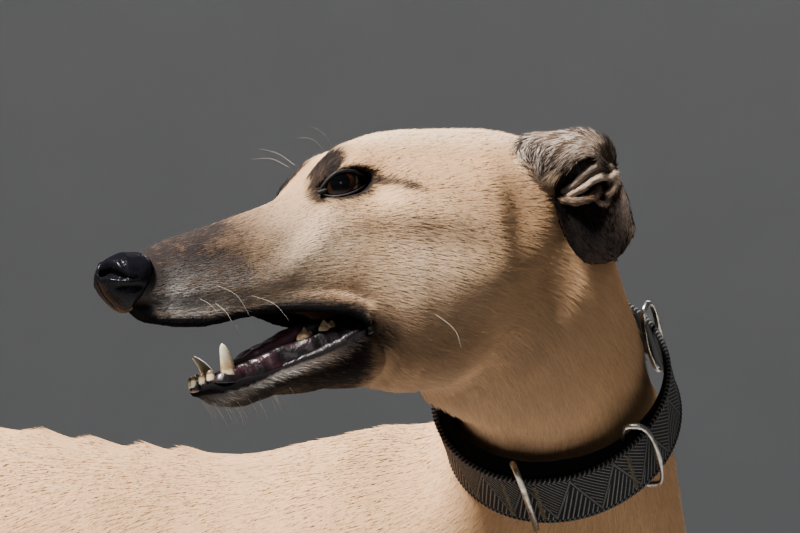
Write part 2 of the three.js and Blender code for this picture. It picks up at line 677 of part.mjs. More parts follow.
// A wire loop that stands across the webbing, round it, and leans along it
function wireLoop(turn, wire, halfHeight, outer, lean) {
  const { centre, along, across, out } = collarFrame(turn);
  const inner = COLLAR.thickness / 2 + padding(turn) + wire + 1.4;
  const halfDepth = (inner + outer) / 2 / Math.cos(lean);
  centre.addScaledVector(out, (outer - inner) / 2).addScaledVector(across, 3);
  const depth = out.clone().multiplyScalar(Math.cos(lean)).addScaledVector(along, Math.sin(lean));
  const sideways = across.clone().cross(depth);
  const power = 3;
  return loop(5, 20, (around, angle) => {
    const [c, s] = [Math.cos(around), Math.sin(around)];
    const size = (Math.abs(c / halfHeight) ** power + Math.abs(s / halfDepth) ** power) ** (-1 / power);
    const at = centre.clone().addScaledVector(across, size * c).addScaledVector(depth, size * s);
    const radial = across.clone().multiplyScalar(c).addScaledVector(depth, s);
    at.addScaledVector(radial, wire * Math.cos(angle)).addScaledVector(sideways, wire * Math.sin(angle));
    return at.toArray();
  });
}

// Everything is put together here
const SIDES = [-1, 1]; // the left and the right of the head
const bars = (points, radius) => SIDES.map((sign) => solid(bar(mirrored(points, sign), radius, 5, 11)));
const lids = SIDES.map((sign) => solid(eyeBall(sign, EYE.lid)));
const eyeTools = SIDES.flatMap((sign) => [solid(eyeBall(sign, GAP)), solid(eyeSlit(sign))]);
const lipped = join(solid(headForm()), ...lids, ...bars(UPPER_LIP, 1.8));
const head = cut(lipped, solid(noseForm(GAP)), ...eyeTools);
const nose = cut(solid(noseForm()), ...SIDES.map((sign) => solid(nostrilForm(sign))));
const headTool = join(solid(headForm(GAP)), ...bars(UPPER_LIP, 1.8 + GAP));
const jaw = cut(join(solid(jawForm()), ...bars(LOWER_LIP, 1.7), ...lowerTeeth()), headTool);
const jawTool = solid(jawForm(GAP));
const tongue = cut(solid(tongueForm()), jawTool, headTool);

const inWorld = (geometry) => solid(geometry, HEAD_MATRIX);
const inHead = (geometry) => solid(geometry, WORLD_TO_HEAD);
const torso = solid(torsoForm());
const torsoTool = solid(torsoForm(GAP));
const neck = cut(solid(neckForm()), torsoTool, inWorld(headForm(GAP)), inWorld(jawForm(GAP)));
const neckTool = solid(neckForm(GAP));
const neckToolInHead = inHead(neckForm(GAP));
const [earLeft, earRight] = SIDES.map((sign) => cut(earSolid(sign), headTool, neckToolInHead));
const tail = cut(solid(tailForm()), torsoTool);

const headGroup = new THREE.Group();
headGroup.applyMatrix4(HEAD_MATRIX);
headGroup.add(
  node("head", head, FAWN),
  node("lower_jaw", jaw, DARK_FAWN),
  node("nose", nose, LEATHER),
  node("tongue", tongue, TONGUE_PINK),
  node("eye_left", solid(eyeBall(-1)), EYE_BROWN),
  node("eye_right", solid(eyeBall(1)), EYE_BROWN),
  node("ear_left", earLeft, DARK_FAWN),
  node("ear_right", earRight, DARK_FAWN),
);

const dog = new THREE.Group();
dog.add(headGroup, node("torso", torso, FAWN), node("neck", neck, FAWN), node("tail", tail, FAWN));

for (const [name, stance] of Object.entries(STANCE)) {
  const whole = solid(legForm(stance));
  const upper = cut(whole, slab(-100, PAW_CUT + GAP / 2), torsoTool, neckTool);
  const paw = join(whole, ...pawSolid(stance));
  const [end, side] = name.split("_");
  dog.add(node(`${end}_leg_${side}`, upper, FAWN));
  dog.add(node(`${end}_paw_${side}`, cut(paw, slab(PAW_CUT - GAP / 2, 900), slab(-100, SOLE)), FAWN));
}

const COLLAR_LOOPS = { collar_loop_rear: -16, collar_loop_middle: 60, collar_loop_front: 122 };
dog.add(node("collar_band", solid(collarForm()), WEBBING));
for (const [name, turn] of Object.entries(COLLAR_LOOPS))
  dog.add(node(name, solid(wireLoop(radians(turn), 1.6, COLLAR.width / 2 + 7, 7, 0.6)), STEEL));

// The origin is on the floor below the middle of the whole dog.
dog.updateMatrixWorld(true);
const bounds = new THREE.Box3().setFromObject(dog, true);
const middle = bounds.getCenter(point(0, 0, 0));
dog.position.set(-middle.x, -middle.y, -bounds.min.z);

export default dog;
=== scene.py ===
"""Looks of a standing greyhound with a martingale collar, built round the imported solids.

Lengths are millimetres until a mesh is made. Forms are drawn as in the solids: withers above X = 0, spine
in Y = 0, floor at Z = 0, chest towards +X. The head has a frame of its own: s runs back from the nose tip,
v towards the head's right and w up from the line of the lips.
"""
import math

import bpy
import numpy as np
from mathutils import Matrix, Vector


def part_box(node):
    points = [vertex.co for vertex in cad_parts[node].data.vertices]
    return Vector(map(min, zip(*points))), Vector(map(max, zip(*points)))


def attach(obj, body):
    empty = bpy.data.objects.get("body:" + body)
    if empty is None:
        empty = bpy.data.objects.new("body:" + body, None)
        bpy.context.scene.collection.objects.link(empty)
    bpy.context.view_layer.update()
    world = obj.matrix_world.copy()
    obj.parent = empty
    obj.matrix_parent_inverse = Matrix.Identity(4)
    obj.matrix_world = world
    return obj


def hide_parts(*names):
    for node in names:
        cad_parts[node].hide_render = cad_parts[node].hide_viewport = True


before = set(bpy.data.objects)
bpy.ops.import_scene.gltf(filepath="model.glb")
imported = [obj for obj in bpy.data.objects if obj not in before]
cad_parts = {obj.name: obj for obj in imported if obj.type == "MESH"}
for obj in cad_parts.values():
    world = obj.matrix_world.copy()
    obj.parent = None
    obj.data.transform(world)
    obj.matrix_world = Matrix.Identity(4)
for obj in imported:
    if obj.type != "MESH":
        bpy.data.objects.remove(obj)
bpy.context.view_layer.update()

MM = 0.001
HEAD_YAW = 24  # degrees that the nose is turned from straight back towards the dog's right
HEAD_ROLL = 8  # degrees that the crown leans towards the dog's spine
HEAD_AT = np.array([-145.6, -215, 758.8])
EYE = {"s": 119, "v": 26, "w": 64, "radius": 11.5, "lid": 1.6, "slit": 26, "opening": 11.5, "slant": 2.6}
SEED = 7

turn_z = Matrix.Rotation(math.radians(HEAD_YAW), 3, "Z")
HEAD_TURN = np.array(turn_z @ Matrix.Rotation(math.radians(-HEAD_ROLL), 3, "X"))


def from_head(p):
    return np.asarray(p, float) @ HEAD_TURN.T + HEAD_AT


# The row frame is found from an eyeball, which sits where the head's frame says.
eye_low, eye_high = (np.array(corner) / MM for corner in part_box("eye_left"))
SHIFT = (eye_low + eye_high) / 2 - from_head([EYE["s"], -EYE["v"], EYE["w"]])


# Curves and shapes that the solids share
def profile(*pairs):
    """A smooth curve through (position, value) pairs that never swings past them, kept as a fine table."""
    x, y = np.array(pairs, float).T
    secant = np.diff(y) / np.diff(x)
    product = secant[:-1] * secant[1:]
    total = secant[:-1] + secant[1:]
    middle = np.where(product > 0, 2 * product / np.where(product > 0, total, 1), 0)
    slope = np.concatenate([secant[:1], middle, secant[-1:]])
    fine = np.linspace(x[0], x[-1], 600)
    i = np.clip(np.searchsorted(x, fine, side="right") - 1, 0, len(x) - 2)
    width = x[i + 1] - x[i]
    t = (fine - x[i]) / width
    value = y[i] * (1 + 2 * t) * (1 - t) ** 2 + slope[i] * width * t * (1 - t) ** 2
    value += y[i + 1] * t * t * (3 - 2 * t) + slope[i + 1] * width * t * t * (t - 1)
    return lambda at: np.interp(at, fine, value)


def swell(x, centre, width):
    return np.exp(-(((x - centre) / width) ** 2))


def smooth(low, high, x):
    """0 below low, 1 above high and an S-curve between; low may be the larger."""
    t = np.clip((x - low) / (high - low), 0, 1)
    return t * t * (3 - 2 * t)


def round_ends(x, start, end, start_length, end_length):
    near = np.clip(1 - (x - start) / start_length, 0, 1)
    far = np.clip(1 - (end - x) / end_length, 0, 1)
    return np.sqrt(1 - near**2) * np.sqrt(1 - far**2)


def section_gap(u, w, half_width, up, down, up_power, down_power, full=1.0):
    """How far a point lies outside a rounded section, from the section's own norm and its slope."""
    above = w > 0
    b = np.where(above, up, down)
    power = np.where(above, up_power, down_power)
    across = np.abs(u) / half_width + 1e-6
    rise = np.abs(w) / b + 1e-6
    across_less = across ** (power - 1)
    rise_less = rise ** (power - 1)
    norm = (across * across_less + rise * rise_less) ** (1 / power)
    slope = np.hypot(across_less / half_width, rise_less / b) * norm ** (1 - power)
    return (norm - full) / slope


class Path:
    """A smooth centripetal path through points, with t even in points or in length."""

    def __init__(self, points, by_length=False, samples=400):
        p = np.array(points, float)
        p = np.vstack([2 * p[0] - p[1], p, 2 * p[-1] - p[-2]])
        step = np.sqrt(np.linalg.norm(np.diff(p, axis=0), axis=1))[:, None]
        count = len(points) - 1
        t = np.linspace(0, count, samples)
        i = np.minimum(t.astype(int), count - 1)
        f = (t - i)[:, None]
        a, b, c, d = p[i], p[i + 1], p[i + 2], p[i + 3]
        ab, bc, cd = step[i], step[i + 1], step[i + 2]
        out = bc * ((b - a) / ab - (c - a) / (ab + bc) + (c - b) / bc)
        into = bc * ((c - b) / bc - (d - b) / (bc + cd) + (d - c) / cd)
        at = b + f * (out + f * (3 * (c - b) - 2 * out - into + f * (2 * (b - c) + out + into)))
        self.t = t / count
        if by_length:
            run = np.concatenate([[0], np.cumsum(np.linalg.norm(np.diff(at, axis=0), axis=1))])
            at = np.array([np.interp(np.linspace(0, run[-1], samples), run, at[:, k]) for k in range(3)]).T
            self.t = np.linspace(0, 1, samples)
        self.at = at
        tangent = np.gradient(at, self.t, axis=0)
        self.axis = tangent / np.linalg.norm(tangent, axis=1)[:, None]

    def point(self, t):
        return np.stack([np.interp(t, self.t, self.at[:, k]) for k in range(3)], axis=-1)

    def tangent(self, t):
        return np.stack([np.interp(t, self.t, self.axis[:, k]) for k in range(3)], axis=-1)

    def nearest(self, x, y, z, stations=48):
        """The t of the nearest point of the path, for arrays of coordinates."""
        best = None
        for t in np.linspace(0, 1, stations):
            centre, axis = self.point(t), self.tangent(t)
            gone = [x - centre[0], y - centre[1], z - centre[2]]
            far = gone[0] ** 2 + gone[1] ** 2 + gone[2] ** 2
            ahead = gone[0] * axis[0] + gone[1] * axis[1] + gone[2] * axis[2]
            if best is None:
                best, along, where = far, ahead, np.full(far.shape, t, np.float32)
            else:
                closer = far < best
                best = np.where(closer, far, best)
                along = np.where(closer, ahead, along)
                where = np.where(closer, np.float32(t), where)
        length = np.linalg.norm(np.diff(self.at, axis=0), axis=1).sum()
        half = 0.5 / (stations - 1)
        return np.clip(where + np.clip(along / length, -half, half), 0, 1)


TORSO = {
    "rump": -548,
    "chest": 163,
    "top": profile(
        (-548, 606), (-520, 628), (-480, 652), (-420, 680), (-350, 697), (-285, 702), (-220, 697),
        (-150, 687), (-90, 683), (-40, 692), (0, 699), (40, 700), (90, 675), (130, 630), (163, 580),
    ),
    "bottom": profile(
        (-548, 562), (-500, 548), (-450, 538), (-400, 530), (-350, 515), (-300, 487), (-240, 444),
        (-180, 409), (-120, 386), (-60, 376), (0, 380), (50, 394), (100, 425), (140, 468), (163, 510),
    ),
    "half_width": profile(
        (-548, 55), (-500, 72), (-450, 79), (-400, 74), (-350, 66), (-305, 68), (-250, 83), (-180, 95),
        (-110, 98), (-40, 91), (30, 83), (80, 76), (130, 62), (163, 52),
    ),
    "middle": profile(
        (-548, 585), (-480, 605), (-400, 622), (-320, 622), (-250, 592), (-180, 562), (-100, 548), (0, 552),
        (80, 552), (163, 540),
    ),
    "up_power": profile((-548, 2), (-420, 2.1), (-300, 2.2), (-150, 1.9), (0, 1.55), (80, 1.8), (163, 2)),
    "down_power": 1.9,
}
NECK = {
    "path": Path([(50, 0, 560), (84, -5, 628), (91, -30, 676), (82, -61, 717), (73, -90, 742),
                  (57, -114, 763), (34, -134, 782)]),
    "lateral": profile((0, 60), (0.167, 63), (0.333, 58.5), (0.5, 53.5), (0.667, 51.5), (0.833, 48), (1, 42)),
    "dorsal": profile((0, 100), (0.167, 86), (0.333, 64), (0.5, 51), (0.667, 55), (0.833, 63), (1, 57)),
    "turn": profile((0, 0), (0.167, 32), (0.333, 62), (0.5, 90), (0.667, 122), (0.833, 150), (1, 160)),
}
HEAD = {
    "front": 11,
    "back": 254,
    "top": profile(
        (11, 29), (20, 34.5), (28, 38.3), (37, 42), (47, 45), (67, 51.6), (86, 58), (95, 62), (104, 69),
        (113, 76.5), (122, 83.5), (134, 90.5), (146, 94.5), (165, 97), (200, 98), (218, 96.5), (236, 90),
        (254, 74),
    ),
    "bottom": profile(
        (11, 7), (16, 5), (24, 1.6), (34, 0.4), (46, 0.4), (58, 1), (71, 3.2), (82, 5), (94, 6), (106, 6),
        (118, 4.5), (125, 0), (130, -10), (137, -24), (146, -33), (160, -36), (176, -35), (192, -29),
        (208, -18), (225, 0), (254, 35),
    ),
    "half_width": profile(
        (11, 12), (20, 15.5), (30, 17.2), (40, 19), (55, 21), (70, 23), (85, 26), (95, 29), (105, 33.5),
        (115, 38), (125, 42), (140, 47), (155, 51), (170, 53), (190, 53), (205, 50), (220, 44), (236, 36),
        (254, 26),
    ),
    "middle": profile(
        (11, 14), (30, 12), (60, 12), (85, 18), (100, 30), (115, 42), (130, 44), (150, 40), (180, 34),
        (210, 40), (254, 48),
    ),
    "up_power": profile((11, 2), (60, 2.1), (100, 2.4), (120, 2.9), (145, 2.3), (180, 2), (254, 2)),
    "down_power": profile(
        (11, 2.4), (40, 3), (70, 3.5), (90, 5), (110, 8), (122, 8), (136, 3.6), (155, 2.6), (254, 2),
    ),
    "lip_taper": profile((11, 0.8), (30, 0.88), (60, 0.9), (115, 0.89), (127, 0.86), (150, 1)),
}
# Lines of the lips: s, then w of the middle of each roll
UPPER_ROLL = profile(
    (12, 8), (18, 5.2), (22, 1.4), (27, -1.0), (38, -2.4), (46, -2.5), (55, -1.2), (69, 1.6), (80, 3),
    (88, 3.2), (96, 3.2), (106, 2.5), (116, 0.8), (122, -1.5), (128, -5.5), (134, -7),
)
LOWER_ROLL = profile(
    (44, -34.5), (50, -33.2), (56, -32.5), (66, -31), (76, -29), (84, -27), (96, -22.8), (106, -19),
    (116, -14.5), (124, -10), (128, -7.5), (134, -7),
)
ROLL = 3.1  # before the coat's depth is taken off
FAR_LIP_LIFT = 4.4
# Where the lips' rolls, the roof and the floor of the mouth start and end along s
MOUTH = {"upper_roll": (16, 127), "roof": (24, 134), "lower_roll": (50.5, 126), "floor": (53, 140)}
# Swells and hollows of the head: s, degrees above the widest line, height, reach along s and in degrees
HEAD_FEATURES = {
    "eye_socket": (112, 34, -1.5, 9, 13),
    "orbit": (134, 27, -6, 9, 16),
    "brow": (120, 62, 4, 12, 13),
    "brow_furrow": (120, 90, -2.5, 16, 9),
    "cheekbone": (152, 8, 3, 26, 12),
    "temple": (158, 48, -3, 20, 14),
    "masseter": (180, -22, 4, 22, 20),
    "face_hollow": (90, 30, -1.5, 16, 18),
    "canine_swell": (38, -5, 1.2, 10, 25),
    "jaw_angle": (206, 10, -4, 12, 30),
}
JAW = {
    "tip": 48,
    "back": 146,
    "top": profile((46, -32), (52, -29.5), (60, -28), (75, -25.5), (90, -20.5), (105, -15.5), (120, -9),
                   (132, -5), (146, -4)),
    "bottom": profile((46, -33), (49, -36.6), (54, -40.4), (60, -41.8), (69, -42.6), (80, -40), (90, -37),
                      (105, -36), (119, -34), (132, -34), (146, -30)),
    "half_width": profile((46, 9), (52, 12.5), (60, 15.5), (75, 18), (90, 22), (105, 27.5), (118, 33.5),
                          (130, 32), (146, 24)),
    "middle": profile((46, -34), (60, -35), (75, -33), (90, -29), (105, -26), (120, -21), (132, -19),
                      (146, -17)),
}
FORE_LEG = {
    "top": 640,
    "front": profile(
        (0, 76), (12, 82), (28, 80), (45, 69), (60, 58), (76, 50), (100, 44), (130, 44), (150, 44), (180, 41),
        (220, 42), (280, 47), (330, 54), (385, 66), (420, 84), (460, 108), (500, 128), (535, 138), (570, 128),
        (605, 104), (640, 70),
    ),
    "rear": profile(
        (0, 34), (14, 27), (40, 19), (70, 12), (100, 8), (125, 2), (150, 3), (180, 7), (220, 5), (280, 1),
        (330, -8), (362, -22), (385, -38), (410, -44), (460, -46), (520, -36), (580, -16), (640, 10),
    ),
    "outer": profile(
        (0, 92), (45, 89), (70, 86), (100, 86), (130, 89), (150, 89), (180, 87), (220, 88), (280, 91),
        (330, 94), (385, 97), (440, 99), (500, 100), (560, 92), (600, 78), (640, 60),
    ),
    "inner": profile(
        (0, 60), (45, 61), (70, 62), (100, 62), (130, 60), (150, 60), (180, 62), (220, 61), (280, 59),
        (330, 56), (385, 52), (440, 46), (520, 40), (640, 20),
    ),
}
HIND_LEG = {
    "top": 640,
    "front": profile(
        (0, -524), (12, -518), (28, -520), (45, -532), (60, -544), (76, -555), (100, -562), (140, -560),
        (170, -552), (200, -536), (240, -500), (280, -458), (320, -416), (360, -380), (390, -361),
        (415, -354), (450, -352), (500, -358), (560, -376), (640, -410),
    ),
    "rear": profile(
        (0, -572), (14, -579), (40, -587), (80, -592), (120, -597), (150, -604), (170, -611), (190, -612),
        (205, -603), (230, -582), (270, -550), (320, -520), (370, -510), (410, -516), (460, -536),
        (520, -553), (580, -556), (640, -530),
    ),
    "outer": profile(
        (0, 109), (45, 107), (80, 104), (120, 104), (165, 106), (200, 105), (240, 106), (320, 110),
        (400, 116), (460, 119), (520, 116), (570, 106), (610, 88), (640, 68),
    ),
    "inner": profile(
        (0, 77), (45, 78), (80, 79), (120, 79), (165, 78), (200, 79), (240, 77), (320, 71), (400, 60),
        (480, 46), (560, 34), (640, 22),
    ),
}
LEG_POWER = 2.15
# Where each foot stands: side of the body, and how far the foot is set forward of a square stance
STANCE = {
    "fore_left": (FORE_LEG, 1, 16),
    "fore_right": (FORE_LEG, -1, -8),
    "hind_left": (HIND_LEG, 1, -26),
    "hind_right": (HIND_LEG, -1, 10),
}
TOES = ((33, -8.8, -3), (33, 8.8, 3), (19, -22, -9), (19, 22, 9))
TOE = {"length": 50, "width": 19, "height": 31}
TAIL = {
    "path": Path([(-500, 0, 618), (-535, 0, 598), (-562, 0, 540), (-577, 0, 460), (-590, 0, 370),
                  (-606, 0, 285), (-632, 0, 215), (-668, 0, 188)], by_length=True),
    "radius": profile((0, 24), (0.12, 20), (0.3, 14), (0.6, 9), (0.9, 5.5), (1, 3.5)),
}


# Distances from the forms: negative inside, in millimetres
def torso_gap(x, y, z):
    inside = np.clip(x, TORSO["rump"], TORSO["chest"])
    middle = TORSO["middle"](inside)
    full = round_ends(x, TORSO["rump"], TORSO["chest"], 60, 62)
    gap = section_gap(y, z - middle, TORSO["half_width"](inside), TORSO["top"](inside) - middle,
                      middle - TORSO["bottom"](inside), TORSO["up_power"](inside), TORSO["down_power"], full)
    return gap + np.abs(x - inside)


def neck_frame(t):
    axis = NECK["path"].tangent(t)
    turned = np.radians(NECK["turn"](t))
    nape = np.stack([-np.cos(turned), np.sin(turned), np.full_like(turned, 0.25)], axis=-1)
    nape -= axis * (nape * axis).sum(-1, keepdims=True)
    nape /= np.linalg.norm(nape, axis=-1, keepdims=True)
    return NECK["path"].point(t), axis, nape, np.cross(axis, nape)


NECK_STATIONS = np.linspace(0, 1, 120)
NECK_FRAMES = neck_frame(NECK_STATIONS)


def neck_place(x, y, z):
    """t along the neck, then how far to the side, towards the nape and beyond either end."""
    t = NECK["path"].nearest(x, y, z)
    centre, axis, nape, side = (
        [np.interp(t, NECK_STATIONS, part[:, k]) for k in range(3)] for part in NECK_FRAMES)
    gone = (x - centre[0], y - centre[1], z - centre[2])
    return t, *(sum(g * d for g, d in zip(gone, way)) for way in (side, nape, axis))


def neck_gap(x, y, z):
    t, aside, up, beyond = neck_place(x, y, z)
    dorsal = NECK["dorsal"](t)
    full = round_ends(t, 0, 1, 0.12, 0.16)
    return section_gap(aside, up, NECK["lateral"](t), dorsal, dorsal, 2.05, 2.05, full) + np.abs(beyond)


def head_place(x, y, z):
    gone = (x - HEAD_AT[0], y - HEAD_AT[1], z - HEAD_AT[2])
    return [sum(g * HEAD_TURN[i, k] for i, g in enumerate(gone)) for k in range(3)]


def ellipse_gap(v, w, half_width, centre, half_height, full):
    """Distance from a lens of elliptical section, for the hollows of the mouth."""
    norm = np.hypot(v / half_width, (w - centre) / half_height)
    return (norm - full) * np.minimum(half_width, half_height)


def blend(a, b, k):
    """The union of two distances with a fillet of about k."""
    near = np.maximum(k - np.abs(a - b), 0) / k
    return np.minimum(a, b) - near * near * k / 4


def lip_lift(s, v):
    """How much higher the far lip is held than the near one, towards the nose."""
    return FAR_LIP_LIFT * smooth(-6, 6, v) * smooth(104, 84, s)


def skull_gap(s, v, w):
    """The skull and muzzle: sections along s, with the swells of bone and muscle."""
    inside = np.clip(s, HEAD["front"], HEAD["back"])
    middle = HEAD["middle"](inside)
    down = middle - HEAD["bottom"](inside)
    rise = w - middle
    full = round_ends(s, HEAD["front"], HEAD["back"], 9, 30)
    taper = 1 + (HEAD["lip_taper"](inside) - 1) * np.clip(-rise / down, 0, 1)
    gap = section_gap(v / taper, rise, HEAD["half_width"](inside), HEAD["top"](inside) - middle, down,
                      HEAD["up_power"](inside), HEAD["down_power"](inside), full)
    above = np.degrees(np.arctan2(rise, np.abs(v)))
    for at, tilt, height, along, around in HEAD_FEATURES.values():
        gap = gap - height * swell(s, at, along) * swell(above, tilt, around)
    return gap + np.abs(s - inside)


def eyeball_gap(s, side, w):
    ball = np.sqrt((s - EYE["s"]) ** 2 + (side - EYE["v"]) ** 2 + (w - EYE["w"]) ** 2)
    return ball - EYE["radius"] - EYE["lid"]


def lid_slit_gap(s, side, w):
    """The slit between the lids: an almond that slants."""
    ahead = s - EYE["s"] - 1.0
    along = np.clip(ahead / (EYE["slit"] / 2), -1, 1)
    opening = (EYE["opening"] / 2) * (1 - along**2) ** 0.7
    slit = np.abs(w - EYE["w"] - EYE["slant"] * along) - opening
    slit = slit + np.maximum(np.abs(ahead) - EYE["slit"] / 2, 0) * 3
    return np.maximum(slit, EYE["v"] - 4 - side)


def upper_lip_gap(s, v, w):
    rolled = np.clip(s, *MOUTH["upper_roll"])
    wall = HEAD["half_width"](rolled) * HEAD["lip_taper"](rolled) - 2.2
    edge = UPPER_ROLL(rolled) + lip_lift(s, v)
    return np.hypot(np.hypot(np.abs(v) - wall, w - np.clip(w, edge, edge + 6)), s - rolled) - ROLL


def mouth_roof_gap(s, v, w):
    inside = np.clip(s, HEAD["front"], HEAD["back"])
    lips = np.clip(s, *MOUTH["roof"])
    half_width = HEAD["half_width"](inside) * HEAD["lip_taper"](inside) - 4.6
    full = round_ends(s, *MOUTH["roof"], 12, 12)
    return ellipse_gap(v, w, half_width, UPPER_ROLL(lips) + lip_lift(s, v) - 6, 13, full) + np.abs(s - lips)


def head_gap(x, y, z):
    s, v, w = head_place(x, y, z)
    side = np.abs(v)
    gap = blend(skull_gap(s, v, w), eyeball_gap(s, side, w), 7)
    gap = np.maximum(gap, -lid_slit_gap(s, side, w))
    gap = blend(gap, upper_lip_gap(s, v, w), 3)
    return -blend(-gap, mouth_roof_gap(s, v, w), 1.5)


def lower_lip_gap(s, v, w):
    rolled = np.clip(s, *MOUTH["lower_roll"])
    wall = np.abs(v) - JAW["half_width"](rolled) + 1.9
    wall = np.maximum(wall, 0) + np.minimum(wall, 0) * smooth(51, 56, s)
    edge = LOWER_ROLL(rolled)
    stood = w - np.clip(w, edge - 1 - 4 * smooth(52, 63, s), edge - 0.5)
    return np.hypot(np.hypot(wall, stood), s - rolled) - ROLL + 0.3


def mouth_floor_gap(s, v, w):
    floor = np.clip(s, *MOUTH["floor"])
    full = round_ends(s, *MOUTH["floor"], 14, 14)
    return ellipse_gap(v, w, JAW["half_width"](floor) - 4, JAW["top"](floor) + 3, 9, full) + np.abs(s - floor)


def jaw_gap(x, y, z):
    s, v, w = head_place(x, y, z)
    inside = np.clip(s, JAW["tip"], JAW["back"])
    middle = JAW["middle"](inside)
    full = round_ends(s, JAW["tip"], JAW["back"], 12, 12)
    gap = section_gap(v, w - middle, JAW["half_width"](inside), JAW["top"](inside) - middle,
                      middle - JAW["bottom"](inside), 3, 2.2, full)
    gap = gap + np.abs(s - inside)
    gap = blend(gap, lower_lip_gap(s, v, w), 2.5)
    return -blend(-gap, mouth_floor_gap(s, v, w), 2)


def leg_gap(leg, sign, step):
    def leg_form(x, y, z):
        inside = np.clip(z, 0, leg["top"])
        front, rear = leg["front"](inside), leg["rear"](inside)
        outer, inner = leg["outer"](inside), leg["inner"](inside)
        full = round_ends(leg["top"] - z, 0, leg["top"] + 20, 50, 1)
        ahead = x - (front + rear) / 2 - step * (1 - inside / leg["top"])
        aside = y * sign - (outer + inner) / 2
        depth = (front - rear) / 2
        gap = section_gap(aside, ahead, (outer - inner) / 2, depth, depth, LEG_POWER, LEG_POWER, full)
        return gap + np.maximum(z - leg["top"], 0)

    return leg_form


def toe_places(leg, sign, step):
    heel = (leg["front"](0) + leg["rear"](0)) / 2 + step
    aside = sign * (leg["outer"](0) + leg["inner"](0)) / 2
    for ahead, across, turned in TOES:
        yield np.array([heel + ahead, aside + across, TOE["height"] * 0.43]), math.radians(turned)


def paw_gap(leg, sign, step):
    def paw_form(x, y, z):
        total = None
        for centre, turned in toe_places(leg, sign, step):
            along = (x - centre[0]) * math.cos(turned) + (y - centre[1]) * math.sin(turned)
            across = (y - centre[1]) * math.cos(turned) - (x - centre[0]) * math.sin(turned)
            along = along / (TOE["length"] / 2)
            knuckle = 1 + 0.12 * swell(along, 0.05, 0.35)
            up = (z - centre[2] + 3.5 * along) / (TOE["height"] / 2 * knuckle)
            norm = np.sqrt(along**2 + (across / (TOE["width"] / 2)) ** 2 + up**2)
            toe = (norm - 1) * TOE["width"] / 2
            total = toe if total is None else blend(total, toe, 2.5)
        return total

    return paw_form


def tail_gap(x, y, z):
    t = TAIL["path"].nearest(x, y, z)
    centre = TAIL["path"].point(t)
    far = np.sqrt((x - centre[..., 0]) ** 2 + (y - centre[..., 1]) ** 2 + (z - centre[..., 2]) ** 2)
    return far - TAIL["radius"](t) * round_ends(t, 0, 1, 0.03, 0.02)


LEG_MARGIN = 14


def leg_box(leg, sign):
    """The box that a leg can reach in, with room for its fillet and its step."""
    z = np.linspace(0, leg["top"], 40)
    x_low = leg["rear"](z).min() - LEG_MARGIN - 30
    x_high = leg["front"](z).max() + LEG_MARGIN + 20
    y_far = leg["outer"](z).max() + LEG_MARGIN
    return (x_low, x_high), tuple(sorted((sign * 8, sign * y_far))), (-LEG_MARGIN, leg["top"] + LEG_MARGIN)


def paw_box(place, leg, sign, step):
    heel = float(leg["rear"](0)) + step
    aside = sign * (93 if "hind" in place else 85)
    return (heel - 30, heel + 110), (aside - 50, aside + 50), (-12, 66)


# Every form of the body: its distance, the box it can reach in, its fillet and how deep the coat lies over it
FORMS = {
    "torso": (torso_gap, ((-580, 200), (-135, 135), (340, 735)), 1, 1.6),
    "neck": (neck_gap, ((-50, 180), (-215, 110), (440, 860)), 34, 1.6),
    "tail": (tail_gap, ((-690, -460), (-35, 35), (165, 650)), 16, 1.4),
}
for place, stance in STANCE.items():
    FORMS[place + "_leg"] = (leg_gap(*stance), leg_box(*stance[:2]), 26, 1.2)
for place, stance in STANCE.items():
    FORMS[place + "_paw"] = (paw_gap(*stance), paw_box(place, *stance), 7, 0.7)
FORMS["head"] = (head_gap, ((-150, 145), (-240, 10), (690, 870)), 20, 1.0)
FORMS["jaw"] = (jaw_gap, ((-115, 50), (-220, -60), (700, 790)), 3.5, 0.8)


def spaced(*stretches):
    """Grid lines over stretches of (start, end, spacing) that follow one another."""
    lines = [np.linspace(a, b, max(2, round((b - a) / step) + 1))[:-1] for a, b, step in stretches]
    return np.concatenate(lines + [[stretches[-1][1]]]).astype(np.float32)


FINE = 1.5
GRID = (
    spaced((-690, -150, 4.4), (-150, 86, FINE), (86, 178, 2.8)),
    spaced((-230, -30, FINE), (-30, 128, 3.4)),
    spaced((-6, 66, 2.8), (66, 610, 4.6), (610, 700, 3), (700, 866, FINE)),
)


def body_field():
    """The skin's distance on the grid: every form in turn, blended into those before it."""
    field = np.full([len(line) for line in GRID], 40, np.float32)
    for gap, box, fillet, depth in FORMS.values():
        cut = tuple(slice(*np.searchsorted(line, side)) for line, side in zip(GRID, box))
        x, y, z = (line[part] for line, part in zip(GRID, cut))
        own = gap(x[:, None, None], y[None, :, None], z[None, None, :]) + depth
        field[cut] = blend(field[cut], own.astype(np.float32), fillet)
    floor = (1.2 - GRID[2])[None, None, :]
    return np.maximum(field, floor)


